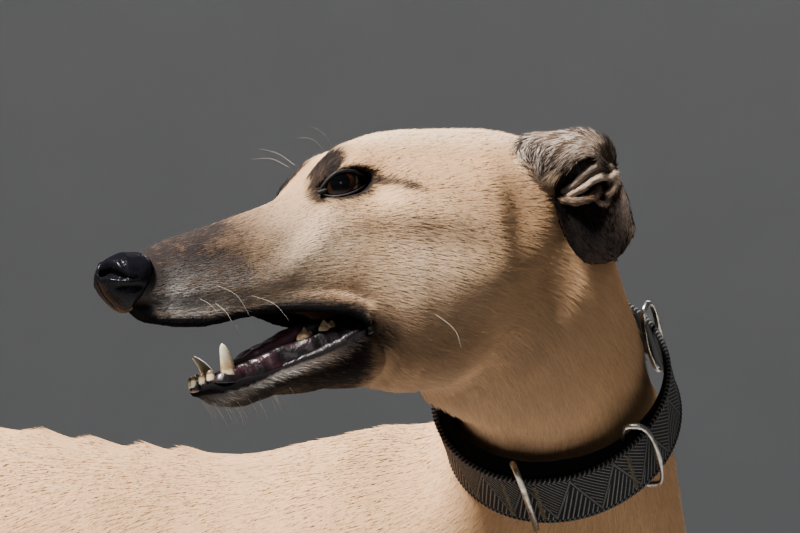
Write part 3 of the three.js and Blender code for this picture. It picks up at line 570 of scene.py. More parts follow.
def surface_net(field, lines):
    """One quad mesh on the field's zero, with a vertex in each cell that it crosses: places and quads."""
    inside = field < 0
    corner = [inside[i:i + field.shape[0] - 1, j:j + field.shape[1] - 1, k:k + field.shape[2] - 1]
              for i in (0, 1) for j in (0, 1) for k in (0, 1)]
    crossed = np.zeros(corner[0].shape, bool)
    for other in corner[1:]:
        crossed |= corner[0] ^ other
    cells = np.argwhere(crossed)
    index = np.full(crossed.shape, -1, np.int32)
    index[tuple(cells.T)] = np.arange(len(cells))
    total = np.zeros((len(cells), 3))
    count = np.zeros(len(cells))
    for axis in range(3):
        others = [a for a in range(3) if a != axis]
        for p in (0, 1):
            for q in (0, 1):
                start = cells.copy()
                start[:, others[0]] += p
                start[:, others[1]] += q
                end = start.copy()
                end[:, axis] += 1
                a, b = field[tuple(start.T)], field[tuple(end.T)]
                hit = (a < 0) != (b < 0)
                t = np.where(hit, a / np.where(hit, a - b, 1), 0)
                at = np.stack([lines[k][start[:, k]] for k in range(3)], axis=1).astype(float)
                at[:, axis] += t * (lines[axis][end[:, axis]] - lines[axis][start[:, axis]])
                total += at * hit[:, None]
                count += hit
    places = total / count[:, None]
    quads = []
    for axis in range(3):
        i, j = [a for a in range(3) if a != axis]
        low = [slice(None)] * 3
        low[axis] = slice(0, -1)
        high = [slice(None)] * 3
        high[axis] = slice(1, None)
        change = inside[tuple(low)] != inside[tuple(high)]
        edge = np.argwhere(change)
        edge = edge[(edge[:, i] > 0) & (edge[:, j] > 0)]
        edge = edge[(edge[:, i] < crossed.shape[i]) & (edge[:, j] < crossed.shape[j])]
        around = []
        for di, dj in ((-1, -1), (0, -1), (0, 0), (-1, 0)):
            cell = edge.copy()
            cell[:, i] += di
            cell[:, j] += dj
            around.append(index[tuple(cell.T)])
        quad = np.stack(around, axis=1)
        flip = inside[tuple(edge.T)] ^ (axis == 1)
        quad[~flip] = quad[~flip][:, ::-1]
        quads.append(quad)
    return places, np.concatenate(quads)


def sample_field(field, lines, p):
    """Value and slope of the field at points, from the eight corners of the cell round each."""
    low, part, width = [], [], []
    for k in range(3):
        i = np.clip(np.searchsorted(lines[k], p[:, k], side="right") - 1, 0, len(lines[k]) - 2)
        step = (lines[k][i + 1] - lines[k][i]).astype(float)
        low.append(i)
        width.append(step)
        part.append((p[:, k] - lines[k][i]) / step)
    value = np.zeros(len(p))
    slope = np.zeros((len(p), 3))
    for bits in np.ndindex(2, 2, 2):
        corner = field[tuple(low[k] + bits[k] for k in range(3))]
        weight = [part[k] if bits[k] else 1 - part[k] for k in range(3)]
        value += corner * weight[0] * weight[1] * weight[2]
        for k in range(3):
            rest = weight[(k + 1) % 3] * weight[(k + 2) % 3]
            slope[:, k] += corner * (1 if bits[k] else -1) * rest / width[k]
    return value, slope


def vertex_normals(places, quads):
    diagonal = np.cross(places[quads[:, 2]] - places[quads[:, 0]], places[quads[:, 3]] - places[quads[:, 1]])
    normals = np.zeros_like(places)
    for k in range(quads.shape[1]):
        for axis in range(3):
            normals[:, axis] += np.bincount(quads[:, k], diagonal[:, axis], len(places))
    return normals / np.maximum(np.linalg.norm(normals, axis=1), 1e-9)[:, None]


def relax(places, quads, strength):
    """One step of smoothing: each vertex moves towards the mean of its neighbours."""
    total = np.zeros_like(places)
    count = np.zeros(len(places))
    for k in range(4):
        for a, b in ((quads[:, k], quads[:, (k + 1) % 4]), (quads[:, (k + 1) % 4], quads[:, k])):
            count += np.bincount(a, minlength=len(places))
            for axis in range(3):
                total[:, axis] += np.bincount(a, places[b, axis], len(places))
    return places + strength * (total / np.maximum(count, 1)[:, None] - places)


# Meshes
def add_mesh(name, places, faces, attributes=None, node="", slot="coat", material=None):
    """A piece from millimetre places and faces, in the row frame, that rides on the root body."""
    mesh = bpy.data.meshes.new(name)
    places = ((np.asarray(places, float) + SHIFT) * MM).astype(np.float32)
    faces = [np.asarray(block) for block in (faces if isinstance(faces, list) else [faces])]
    sizes = np.concatenate([np.full(len(block), block.shape[1]) for block in faces])
    corners = np.concatenate([block.ravel() for block in faces])
    mesh.vertices.add(len(places))
    mesh.vertices.foreach_set("co", places.ravel())
    mesh.loops.add(len(corners))
    mesh.loops.foreach_set("vertex_index", corners.astype(np.int32))
    mesh.polygons.add(len(sizes))
    mesh.polygons.foreach_set("loop_start", np.concatenate([[0], np.cumsum(sizes)[:-1]]).astype(np.int32))
    mesh.update(calc_edges=True)
    mesh.validate()
    mesh.shade_smooth()
    for label, values in (attributes or {}).items():
        layer = mesh.attributes.new(label, "FLOAT", "POINT")
        layer.data.foreach_set("value", values.astype(np.float32))
    piece = bpy.data.objects.new(name, mesh)
    bpy.context.scene.collection.objects.link(piece)
    if material:
        mesh.materials.append(material)
    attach(piece, "root")
    if node:
        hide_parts(*node.split())
    return piece


# Materials: every colour is linear
FAWN = (0.56, 0.335, 0.18)
PALE = (0.76, 0.575, 0.405)
DARK = (0.030, 0.024, 0.023)
GREY = (0.43, 0.405, 0.385)
BLACK = (0.006, 0.0055, 0.006)
PINK = (0.12, 0.040, 0.048)


class Nodes:
    """A short way to build a material from named nodes."""

    def __init__(self, name, **shader):
        self.material = bpy.data.materials.new(name)
        self.material.use_nodes = True
        self.tree = self.material.node_tree
        self.shader = self.tree.nodes["Principled BSDF"]
        for label, value in shader.items():
            self.shader.inputs[label.replace("_", " ").title().replace("Ior", "IOR")].default_value = value

    def add(self, kind, links=None, **settings):
        node = self.tree.nodes.new(kind)
        for label, value in settings.items():
            setattr(node, label, value)
        for label, value in (links or {}).items():
            self.plug(value, node.inputs[label])
        return node

    def plug(self, value, socket):
        if isinstance(value, bpy.types.NodeSocket):
            self.tree.links.new(value, socket)
        else:
            socket.default_value = value

    def attribute(self, name):
        return self.add("ShaderNodeAttribute", attribute_name=name).outputs["Fac"]

    def noise(self, scale, detail=3.0, stretch=None, distortion=0.0):
        at = self.add("ShaderNodeTexCoord").outputs["Object"]
        if stretch:
            at = self.add("ShaderNodeMapping", {"Vector": at, "Scale": stretch}).outputs["Vector"]
        links = {"Vector": at, "Scale": scale, "Detail": detail, "Distortion": distortion}
        return self.add("ShaderNodeTexNoise", links).outputs["Fac"]

    def ramp(self, value, low, high, to_low=0.0, to_high=1.0):
        links = {"Value": value, "From Min": low, "From Max": high, "To Min": to_low, "To Max": to_high}
        return self.add("ShaderNodeMapRange", links).outputs["Result"]

    def maths(self, operation, a, b):
        return self.add("ShaderNodeMath", {0: a, 1: b}, operation=operation).outputs[0]

    def mix(self, factor, a, b):
        node = self.add("ShaderNodeMix", data_type="RGBA")
        for value, socket in ((factor, node.inputs[0]), (a, node.inputs[6]), (b, node.inputs[7])):
            self.plug((*value, 1) if isinstance(value, tuple) else value, socket)
        return node.outputs[2]

    def wave(self, along, length):
        """A sine over the value, once for every length."""
        return self.maths("SINE", self.maths("MULTIPLY", along, 2 * math.pi / length), 0.0)

    def bump(self, height, distance, strength=1.0):
        links = {"Height": height, "Distance": distance, "Strength": strength}
        self.plug(self.add("ShaderNodeBump", links).outputs["Normal"], self.shader.inputs["Normal"])

    def finish(self, colour=None, roughness=None):
        if colour is not None:
            self.plug((*colour, 1) if isinstance(colour, tuple) else colour, self.shader.inputs["Base Color"])
        if roughness is not None:
            self.plug(roughness, self.shader.inputs["Roughness"])
        return self.material


def coat_material(name, over_skin):
    """Skin and tufts share their markings: masks on the mesh choose between the colours of the coat."""
    made = Nodes(name, specular_ior_level=0.0)
    warm = made.ramp(made.noise(14.0), 0.35, 0.65)
    colour = made.mix(warm, tuple(0.9 * c for c in FAWN), tuple(min(1, 1.1 * c) for c in FAWN))
    patch = made.ramp(made.noise(45.0, 4.0), 0.3, 0.7, -0.12, 0.12)
    for mask, target in (("pale", PALE), ("dark", DARK), ("grey", GREY), ("pink", PINK), ("black", BLACK)):
        amount = made.attribute(mask)
        if mask in ("pale", "dark"):
            amount = made.maths("MULTIPLY", amount, made.maths("ADD", 1.0, patch))
        colour = made.mix(made.add("ShaderNodeClamp", {"Value": amount}).outputs[0], colour, target)
    if over_skin:
        strand = made.ramp(made.attribute("shade"), 0.0, 1.0, 0.55, 1.25)
        colour = made.add("ShaderNodeVectorMath", {0: colour, 3: strand}, operation="SCALE").outputs[0]
        return made.finish(colour, 0.62)
    # Painted shade: where hair grows, the skin is darkened by a noise, as in the shade between the tufts.
    under = made.ramp(made.noise(900.0, 2.0), 0.3, 0.7, 0.68, 0.95)
    bare = made.attribute("bare")
    hair = made.maths("SUBTRACT", 1.0, bare)
    shade = made.maths("MULTIPLY", hair, made.maths("SUBTRACT", 1.0, under))
    shaded_skin = made.mix(shade, colour, (0.0, 0.0, 0.0))
    made.bump(made.noise(1100.0, 3.0), 0.0006, 0.7)
    return made.finish(shaded_skin, made.ramp(bare, 0.0, 1.0, 0.72, 0.36))


# Skin
# Swells of the body beyond its sections: x, |y|, z, reach along each, and height
BODY_SWELLS = (
    (-194, 0, 694, 9, 12, 14, 2.2), (-166, 0, 690, 9, 12, 14, 2.4), (-138, 0, 686, 8, 12, 14, 2.2),
    (-115, 0, 684, 8, 12, 14, 2.0),
    (50, 62, 640, 26, 22, 60, 3.0), (88, 72, 560, 24, 22, 40, 3.0), (5, 98, 480, 38, 30, 60, 4.5),
    (-62, 96, 520, 22, 30, 70, -3.0), (-44, 88, 402, 14, 16, 14, 3.5), (30, 88, 335, 22, 18, 34, 1.5),
    (-402, 62, 676, 16, 14, 14, 5.0), (-330, 36, 700, 60, 16, 20, 3.0), (-455, 112, 490, 46, 30, 80, 5.0),
    (-512, 100, 470, 14, 30, 60, -2.5), (-540, 40, 604, 14, 16, 14, 4.0), (-398, 112, 560, 18, 30, 50, -3.0),
    (-358, 92, 408, 15, 22, 18, 3.0), (-578, 93, 250, 14, 8, 34, -2.5), (-470, 104, 330, 30, 16, 50, 2.0),
)
RIBS = {"first": -70, "spacing": 25, "slope": 0.28, "height": 0.55}


def body_shape(p):
    """How far the muscles and bones stand out from the plain sections, along the normal."""
    x, y, z = p[:, 0], np.abs(p[:, 1]), p[:, 2]
    height = np.zeros(len(p))
    for cx, cy, cz, rx, ry, rz, rise in BODY_SWELLS:
        height += rise * swell(x, cx, rx) * swell(y, cy, ry) * swell(z, cz, rz)
    along = x + RIBS["slope"] * (z - 560)
    ribs = np.cos(2 * np.pi * (along - RIBS["first"]) / RIBS["spacing"])
    where = smooth(-330, -260, along) * smooth(-30, -80, along) * smooth(425, 470, z) * smooth(665, 620, z)
    return height + RIBS["height"] * ribs * where * smooth(40, 70, y)


# Lines of the lips in the head's frame: s, and w of the edge of the fur
UPPER_LIP_TOP = ((0, 12, 18, 26, 34, 44, 54, 65, 76, 86, 96, 106, 116, 124, 128),
                 (11, 9, 6.4, 1, 0.6, 0.8, 1.2, 3.2, 5, 6, 6, 5.4, 3.9, 0.3, -5))
LOWER_LIP_EDGE = ((44, 47, 57, 67, 76, 84, 96, 105, 115, 125, 128),
                  (-36.4, -36.8, -37.0, -35.0, -31.4, -27.4, -23.4, -20.6, -16.2, -10.2, -7))
# How dark the muzzle is along the bridge of the nose and along the flank above the lips
BRIDGE_DARK = ((0, 24, 50, 64, 82, 100, 122), (1, 1, 1, 0.93, 0.62, 0.28, 0.04))
FLANK_DARK = ((0, 24, 46, 62, 84, 112, 134), (1, 0.96, 0.82, 0.86, 0.7, 0.48, 0.1))
MOUTH_WIDTH = ((10, 26, 54, 86, 106, 128), (9, 13, 18.5, 23.5, 29, 36))


def almond(s, w, length, height):
    """1 on the edge of an almond round the eye, less inside it."""
    ahead = s - EYE["s"] - 1
    return np.hypot(ahead / length, (w - EYE["w"] - 0.2 * ahead) / height)


def eye_marks(s, side, w):
    """The dark brow, rim of the lids and tear mark in one, then the rim alone."""
    brow = np.minimum(1, 2.6 * swell(s - 0.75 * (w - 76), 114.4, 3.6) * swell(w, 73.5, 7.5))
    brow = brow * smooth(10, 15, side)
    rim = smooth(1.12, 0.9, almond(s, w, 15.0, 8.0)) * smooth(16, 24, side)
    tear = np.minimum(1, 3.4 * swell(s, 109, 5.4) * swell(w - 61, 0.7 * (s - 106), 5.2))
    tear = tear * smooth(12, 17, side)
    return np.maximum.reduce([brow, rim, tear]), rim


def eye_corner(s, side, w):
    """The dark line that runs back from the outer corner of the eye."""
    line = swell(w, 66 - 0.4 * (s - 134), 1.9) * smooth(126, 131, s) * smooth(156, 144, s)
    return np.minimum(1, 2.4 * (line * smooth(16, 24, side)))


def lower_face(s, w):
    """1 on the chin and the lower jaw."""
    return smooth(-6, -12, w + 0.11 * (s - 120)) * smooth(150, 138, s)


def behind_mouth(s, w):
    return swell(s, 134, 9) * swell(w, -12, 12) * 0.85


def face_dark(s, w, near_lip, lip_top, lower):
    """The mask of the muzzle fades back towards the eyes, further along the lips than on the bridge."""
    muzzle = np.interp(s, *BRIDGE_DARK) * (1 - near_lip) + np.interp(s, *FLANK_DARK) * near_lip
    muzzle = np.maximum(muzzle, swell(s, 20, 14))
    along_lip = np.exp(-np.maximum(w - lip_top, 0) / 6) * smooth(138, 124, s) * 0.95
    chin = lower * smooth(146, 120, s) * 0.93
    chin = np.maximum.reduce([chin, behind_mouth(s, w), lower * smooth(60, 52, s)])
    return np.maximum(np.maximum(muzzle * (1 - lower), along_lip), chin)


def face_pale(s, w):
    """The paler cheek, side of the muzzle, crown and throat."""
    cheek = swell(s, 146, 36) * swell(w, 20, 30) * 0.6
    flank = swell(s, 102, 26) * swell(w, 33, 20) * 0.9
    crown = smooth(78, 92, w) * 0.5
    throat = smooth(30, -30, w) * smooth(120, 150, s) * 0.1
    return np.maximum.reduce([cheek, flank, crown, throat])


def face_grey(s, w, near_lip, lip_top, lip_low, lower):
    """Grey hairs over the upper lip, along the edge of the lower one and on the chin."""
    upper = swell(s, 38, 14) * swell(w - lip_top, 5, 7.5) * 0.62
    upper = upper + 0.2 * near_lip * smooth(118, 60, s) * smooth(26, 34, s)
    fringe = swell(lip_low - w, 1.8, 1.9) * smooth(118, 84, s) * smooth(50, 62, s) * (w < -8)
    return upper * (1 - lower) + lower * smooth(84, 52, s) * 0.10 + 0.5 * fringe


def mouth_black(s, within, w, lip_top, lip_low):
    """The bare black skin of the lips, the mouth and the front of the muzzle."""
    upper = smooth(lip_top + 0.4, lip_top - 0.8, w) * smooth(12, 16, s) * smooth(136, 128, s)
    lower = smooth(lip_low - 0.6, lip_low + 0.6, w) * smooth(39, 41, s) * smooth(136, 128, s)
    lips = np.where(w > -8 - 0.2 * (130 - s), upper, lower) * smooth(240, 200, s)
    roof = smooth(0.5, 2.5, within) * smooth(lip_top + 12, lip_top + 9, w) * (w > -12)
    roof = roof * smooth(14, 18, s) * smooth(138, 130, s)
    front = smooth(30, 21, s) * smooth(11, 6, w)
    return np.maximum.reduce([lips, roof, front])


def body_pale(p):
    """The paler belly, feet and insides of the legs."""
    x, y, z = p.T
    side = np.abs(y)
    belly = smooth(470, 400, z) * smooth(60, 20, side) * smooth(-330, -260, x) * 0.6
    belly = belly * smooth(60, 20, x) * (z > 340)
    feet = smooth(90, 30, z) * 0.35
    inner_leg = smooth(60, 40, side) * smooth(400, 300, z) * 0.3
    return np.maximum.reduce([belly, feet, inner_leg])


def markings(p):
    """The masks of the coat at points: dark, pale, grey-haired, pink and black, and how bare the skin is.
    Dark and black also hold painted shade under the jaw and down the throat.
    """
    s, v, w = head_place(p[:, 0], p[:, 1], p[:, 2])
    side = np.abs(v)
    on_head = smooth(268, 235, s) * smooth(-75, -55, w) * smooth(80, 64, side)
    lip_top = np.interp(s, *UPPER_LIP_TOP) + lip_lift(s, v)
    lip_low = np.interp(s, *LOWER_LIP_EDGE)
    lower = lower_face(s, w)
    near_lip = smooth(34, 12, w)
    marks, rim = eye_marks(s, side, w)
    # Painted shade: the underside of the head behind the mouth and down the throat is darkened as if shaded
    # by the jaw.
    under = 0.45 * smooth(18, -22, w) * smooth(116, 134, s) * smooth(208, 165, s)
    dark = face_dark(s, w, near_lip, lip_top, lower)
    dark = np.maximum.reduce([dark, marks, under, 0.9 * eye_corner(s, side, w)]) * on_head
    grey = np.clip(face_grey(s, w, near_lip, lip_top, lip_low, lower) * on_head, 0, 1)
    within = np.interp(s, *MOUTH_WIDTH) - side
    black = mouth_black(s, within, w, lip_top, lip_low) * on_head
    inner = smooth(4, 9, within) * black * smooth(24, 40, s) * smooth(52, 66, s + 30 * (w > -12))
    inner = inner * np.where(w > -6, 0.25, 1.0)
    # Black fur behind the mouth and in the eye marks, and painted shade that blackens the lower jaw.
    black_fur_and_jaw_shade = 0.5 * np.maximum(lower * smooth(142, 118, s), behind_mouth(s, w)) * on_head * (1 - grey)
    black_fur_and_jaw_shade = np.maximum(black_fur_and_jaw_shade, 0.62 * smooth(0.5, 1.0, marks) * on_head)
    return {
        "dark": np.clip(dark, 0, 1),
        "pale": np.maximum(face_pale(s, w) * on_head, body_pale(p)),
        "grey": grey,
        "pink": np.clip(inner, 0, 1) * 0.6,
        "black": np.clip(np.maximum(black * (1 - 0.6 * inner), black_fur_and_jaw_shade), 0, 1),
        "bare": np.clip(np.maximum(black, rim * 0.3), 0, 1),
    }


field = body_field()
skin_places, skin_quads = surface_net(field, GRID)
for _ in range(2):
    value, slope = sample_field(field, GRID, skin_places)
    step = np.clip(value / np.maximum((slope**2).sum(1), 0.1), -2, 2)
    skin_places -= step[:, None] * slope
skin_places = relax(skin_places, skin_quads, 0.5)
skin_places = relax(skin_places, skin_quads, -0.3)
skin_normals = vertex_normals(skin_places, skin_quads)
skin_places += skin_normals * body_shape(skin_places)[:, None]
skin_normals = vertex_normals(skin_places, skin_quads)
skin_masks = markings(skin_places)
FLESH = ["head", "lower_jaw", "neck", "torso", "tail"]
FLESH += [place.replace("_", f"_{part}_") for place in STANCE for part in ("leg", "paw")]
skin = add_mesh("skin", skin_places, skin_quads, skin_masks, node=" ".join(FLESH),
                material=coat_material("coat_skin", False))


# Small closed forms, gathered into joined meshes
def tube(around, along, place):
    """A closed form of rings from pole to pole, each point at place(t, angle): places and face blocks."""
    t = (1 - np.cos(np.linspace(0, np.pi, along + 1))) / 2
    angle = np.arange(around) * 2 * np.pi / around
    rings_t, rings_angle = np.meshgrid(t[1:-1], angle, indexing="ij")
    rings = place(rings_t, rings_angle).reshape(-1, 3)
    poles = place(np.array([0.0, 1.0]), np.array([0.0, 0.0]))
    places = np.vstack([rings, poles])
    ring, step = np.meshgrid(np.arange(along - 2), np.arange(around), indexing="ij")
    following = (step + 1) % around
    quads = np.stack([ring * around + step, ring * around + following,
                      (ring + 1) * around + following, (ring + 1) * around + step], axis=-1).reshape(-1, 4)
    i = np.arange(around)
    last = (along - 2) * around
    start = np.stack([np.full(around, len(rings)), (i + 1) % around, i], axis=1)
    end = np.stack([np.full(around, len(rings) + 1), last + i, last + (i + 1) % around], axis=1)
    return places, [quads, np.vstack([start, end])]


def stack(*parts):
    return np.stack(np.broadcast_arrays(*parts), axis=-1)


def signed_power(x, power):
    return np.sign(x) * np.abs(x) ** power


class Pile:
    """Closed forms gathered into one mesh. Their masks are numbers, arrays or functions of the places."""

    def __init__(self):
        self.places, self.faces, self.masks, self.count = [], {}, {}, 0

    def add(self, form, to_place=None, **masks):
        places, blocks = form
        for block in blocks:
            self.faces.setdefault(block.shape[1], []).append(block + self.count)
        for label, value in masks.items():
            value = np.asarray(value(places) if callable(value) else value, float)
            self.masks.setdefault(label, []).append(np.broadcast_to(value, len(places)))
        self.places.append(to_place(places) if to_place else places)
        self.count += len(places)

    def make(self, name, **settings):
        faces = [np.vstack(blocks) for blocks in self.faces.values()]
        masks = {label: np.concatenate(values) for label, values in self.masks.items()}
        return add_mesh(name, np.vstack(self.places), faces, masks, **settings)


def rod(path, radius, around=8, along=24, flat=1.0, up=(0, 0, 1), ripple=None):
    """A form along a path: radius goes by t, flat scales it across and ripple adds to it by t and angle."""

    def place(t, angle):
        axis = path.tangent(t)
        across = np.cross(np.broadcast_to(np.array(up, float), axis.shape), axis)
        across /= np.maximum(np.linalg.norm(across, axis=-1, keepdims=True), 1e-9)
        rise = np.cross(axis, across)
        size = radius(t)
        if ripple:
            size = size * (1 + ripple(t, angle))
        aside = across * (flat * size * np.cos(angle))[..., None]
        return path.point(t) + aside + rise * (size * np.sin(angle))[..., None]

    return tube(around, along, place)


def soft_ends(t, power=6):
    return np.sqrt(np.maximum(0, 1 - np.abs(2 * t - 1) ** power))


SIDES = (-1, 1)  # the left and the right of the head
rng = np.random.default_rng(SEED)


def mirrored(points, sign):
    return [(s, sign * v, w) for s, v, w in points]


def reversed_faces(form):
    """The same form with its faces turned over, for the mirrored side."""
    places, blocks = form
    return places, [block[:, ::-1] for block in blocks]


# Eyes: a dark wet ball with a low cornea, and lids that follow an almond
GAZE = np.array([-0.36, 0.93, 0.02]) / np.linalg.norm([-0.36, 0.93, 0.02])


def eye_form(sign):
    """The eyeball, with the angle of every place from the middle of the cornea."""
    centre = np.array([EYE["s"], sign * EYE["v"], EYE["w"]])
    gaze = GAZE * (1, sign, 1)
    side = np.cross(gaze, (0, 0, 1))
    side /= np.linalg.norm(side)
    up = np.cross(side, gaze)

    def place(t, angle):
        polar = np.pi * t
        radius = EYE["radius"] + 0.7 * swell(polar, 0, 0.55)
        way = (np.cos(polar)[..., None] * gaze
               + (np.sin(polar) * np.cos(angle))[..., None] * side
               + (np.sin(polar) * np.sin(angle))[..., None] * up)
        return centre + way * radius[..., None]

    places, faces = tube(48, 40, place)
    way = places - centre
    polar = np.degrees(np.arccos(np.clip(way @ gaze / np.linalg.norm(way, axis=1), -1, 1)))
    return places, faces, polar


def eye_material():
    made = Nodes("eye_wet", roughness=0.08, specular_ior_level=0.22, coat_weight=0.12, coat_roughness=0.03)
    polar = made.attribute("polar")
    grain = made.noise(900.0, 3.0)
    iris = made.mix(grain, (0.006, 0.0022, 0.0012), (0.034, 0.012, 0.005))
    edge = made.ramp(polar, 33.0, 42.0)
    iris = made.mix(edge, iris, (0.004, 0.003, 0.003))
    white = made.ramp(polar, 52.0, 64.0)
    colour = made.mix(white, iris, (0.016, 0.010, 0.009))
    colour = made.mix(made.ramp(polar, 24.0, 27.0), (0.001, 0.001, 0.0015), colour)
    return made.finish(colour)


EYE_LOOK = eye_material()
for label, sign in (("eye_left", -1), ("eye_right", 1)):
    places, faces, polar = eye_form(sign)
    add_mesh(label + "_wet", from_head(places), faces, {"polar": polar},
             node=label, slot="eye", material=EYE_LOOK)

# Edges of the lids: s and w from the inner to the outer corner
UPPER_LID = ((106, 60.2), (109, 65), (113.8, 69), (120, 70), (127, 69), (134, 66))
LOWER_LID = ((106, 60.2), (110, 58), (116, 57.6), (122, 59.2), (128.5, 62.6), (134, 66))


def lid_path(edge, sign, out=0.9):
    """The edge of a lid on the eyeball, led off it in a straight slope near the corners."""
    reach = EYE["radius"] + out
    points = []
    for s, w in edge:
        off = math.hypot(s - EYE["s"], w - EYE["w"])
        if off < 0.85 * reach:
            beyond = math.sqrt(reach**2 - off**2)
        else:
            beyond = 0.527 * reach - 0.62 * (off - 0.85 * reach)
        points.append((s, sign * (EYE["v"] + beyond), w))
    return Path(points)


def lid_rims(sign):
    """The rims of both lids and the small fold in the inner corner."""
    for edge, thick in ((UPPER_LID, 0.85), (LOWER_LID, 0.6)):
        yield rod(lid_path(edge, sign), lambda t: thick * (0.55 + 0.45 * np.sin(np.pi * t)) * soft_ends(t, 8),
                  12, 44, flat=1.1, up=(0, 1, 0), ripple=lambda t, a: 0.08 * np.sin(40 * t + 2 * np.cos(a)))
    inner = Path([(105, sign * 30.6, 59.8), (107.4, sign * 31.2, 60.4), (110, sign * 32.4, 61.2)])
    yield rod(inner, lambda t: 1.1 * soft_ends(t, 3), 10, 14, up=(0, 1, 0))


def lid_material():
    made = Nodes("lid_skin", roughness=0.6, specular_ior_level=0.25)
    made.bump(made.noise(1500.0), 0.0003, 0.6)
    return made.finish(made.mix(made.noise(500.0), (0.004, 0.0035, 0.004), (0.014, 0.011, 0.011)))


lids = Pile()
for sign in SIDES:
    for form in lid_rims(sign):
        lids.add(form, from_head)
lids.make("lids", slot="nose_leather", material=lid_material())

# Nose leather with comma-shaped nostrils
NOSE = {
    "back": 27,
    "top": profile((0, 26), (3, 28.9), (7.7, 32.3), (13, 34.2), (19, 34.2), (24, 32.4), (28, 29.5)),
    "bottom": profile((0, 18.5), (3, 14), (7, 9.2), (11, 5.8), (14, 4.6), (18, 7), (22, 13), (28, 23)),
    "half_width": profile((0, 7), (3, 11.7), (7, 15), (12, 17.2), (18, 17.6), (23, 16.5), (28, 12)),
}
NOSTRIL = Path([(1.5, 6.0, 24.5), (2.6, 9.5, 24.6), (5, 12.8, 22.6), (9, 15.2, 20.4), (14, 16.4, 19.4),
                (19, 16.6, 20.5)], by_length=True)


def nose_place(t, angle):
    s = NOSE["back"] * t
    full = round_ends(s, 0, NOSE["back"], 4, 6)
    middle = (NOSE["top"](s) + NOSE["bottom"](s)) / 2
    half = (NOSE["top"](s) - NOSE["bottom"](s)) / 2
    width = NOSE["half_width"](s)
    power = np.where(np.sin(angle) > 0, 2.3, 2.1)
    across = np.abs(np.cos(angle) / width) ** power
    radius = full * (across + np.abs(np.sin(angle) / half) ** power) ** (-1 / power)
    v, w = radius * np.cos(angle), middle + radius * np.sin(angle)
    side = np.abs(v)
    place = stack(s, side, w)
    near = np.full(s.shape, 1e9)
    where = np.zeros(s.shape)
    for step in np.linspace(0, 1, 40):
        far = np.linalg.norm(place - NOSTRIL.point(step), axis=-1)
        where = np.where(far < near, step, where)
        near = np.minimum(near, far)
    open_radius = np.interp(where, (0, 0.25, 0.6, 1), (3.0, 2.9, 1.3, 0.7))
    hollow = smooth(1.25, 0.55, near / open_radius) * np.interp(where, (0, 0.3, 0.7, 1), (6.5, 6.0, 2.6, 0.8))
    wing = 1.0 * swell(near / open_radius, 1.75, 0.45) * smooth(1.0, 0.6, where)
    groove = 1.3 * swell(v, 0, 0.9) * smooth(33, 28, w) * smooth(12, 6, s)
    under = 1.2 * swell(w, 15.5, 1.6) * smooth(3, 8, s) * smooth(21, 15, s) * smooth(6, 11, side)
    shrink = 1 + (wing - hollow - groove - under) / np.maximum(radius, 3)
    back = 1.03 * s - 0.9 + 0.35 * hollow * smooth(12, 2, s)
    return stack(back, v * shrink, middle + (w - middle) * shrink)


def nose_material():
    """Black pebbled leather under a thin wet coat."""
    made = Nodes("nose_wet", roughness=0.5, specular_ior_level=0.0, coat_weight=0.2, coat_roughness=0.22)
    pebbles = made.add("ShaderNodeTexVoronoi", {"Scale": 1150.0}, feature="SMOOTH_F1").outputs["Distance"]
    made.plug(made.add("ShaderNodeTexCoord").outputs["Object"], pebbles.node.inputs["Vector"])
    relief = made.maths("SUBTRACT", made.maths("MULTIPLY", made.noise(600.0), 0.6), pebbles)
    made.bump(relief, 0.0004, 0.5)
    made.plug(made.shader.inputs["Normal"].links[0].from_socket, made.shader.inputs["Coat Normal"])
    return made.finish(made.mix(made.noise(220.0), (0.002, 0.002, 0.003), (0.006, 0.006, 0.009)))


nose = Pile()
nose.add(tube(120, 84, nose_place), from_head)
nose.make("nose_leather", node="nose", slot="nose_leather", material=nose_material())

# Lips: the skin has their rolls, and a wet beaded ridge lies inside the lower one
def lip_line(sign, start, end, inward, lift):
    """A line inside the lower lip, so far in from the jaw's side and above the lip's roll."""
    s = np.linspace(start, end, 26)
    line = np.stack([s, JAW["half_width"](s) - inward, LOWER_ROLL(s) + lift], axis=1)
    return Path(line * (1, sign, 1), by_length=True)


def beads(t, a):
    beaded = 0.04 + 0.09 * smooth(0.2, 0.6, t)
    return beaded * np.sin(61 * t + 2.6 * np.sin(23 * t + a)) * (np.sin(a) > -0.4)


def crumbs(t, a):
    return 0.14 * np.sin(83 * t + 3 * np.sin(17 * t + a)) * (0.5 + 0.5 * np.sin(a))


def ridge_radius(t):
    return np.interp(t, (0, 0.4, 0.85, 1), (1.2, 1.7, 2.5, 1.8)) * soft_ends(t, 8)


def lip_material():
    made = Nodes("lip_wet", roughness=0.44, specular_ior_level=0.25, coat_weight=0.16, coat_roughness=0.16)
    made.bump(made.noise(800.0, 4.0), 0.0007, 0.7)
    return made.finish(made.mix(made.noise(160.0), (0.003, 0.0025, 0.003), (0.014, 0.008, 0.010)))


lips = Pile()
for sign in SIDES:
    ridge = lip_line(sign, 62, 129, 3.6, 1.2)
    lips.add(rod(ridge, ridge_radius, 14, 170, flat=0.85, ripple=beads), from_head)
    inner = lip_line(sign, 76, 128, 6.2, 0.4)
    lips.add(rod(inner, lambda t: 1.6 * soft_ends(t, 6), 12, 150, ripple=crumbs), from_head)
lips.make("lips", slot="nose_leather", material=lip_material())

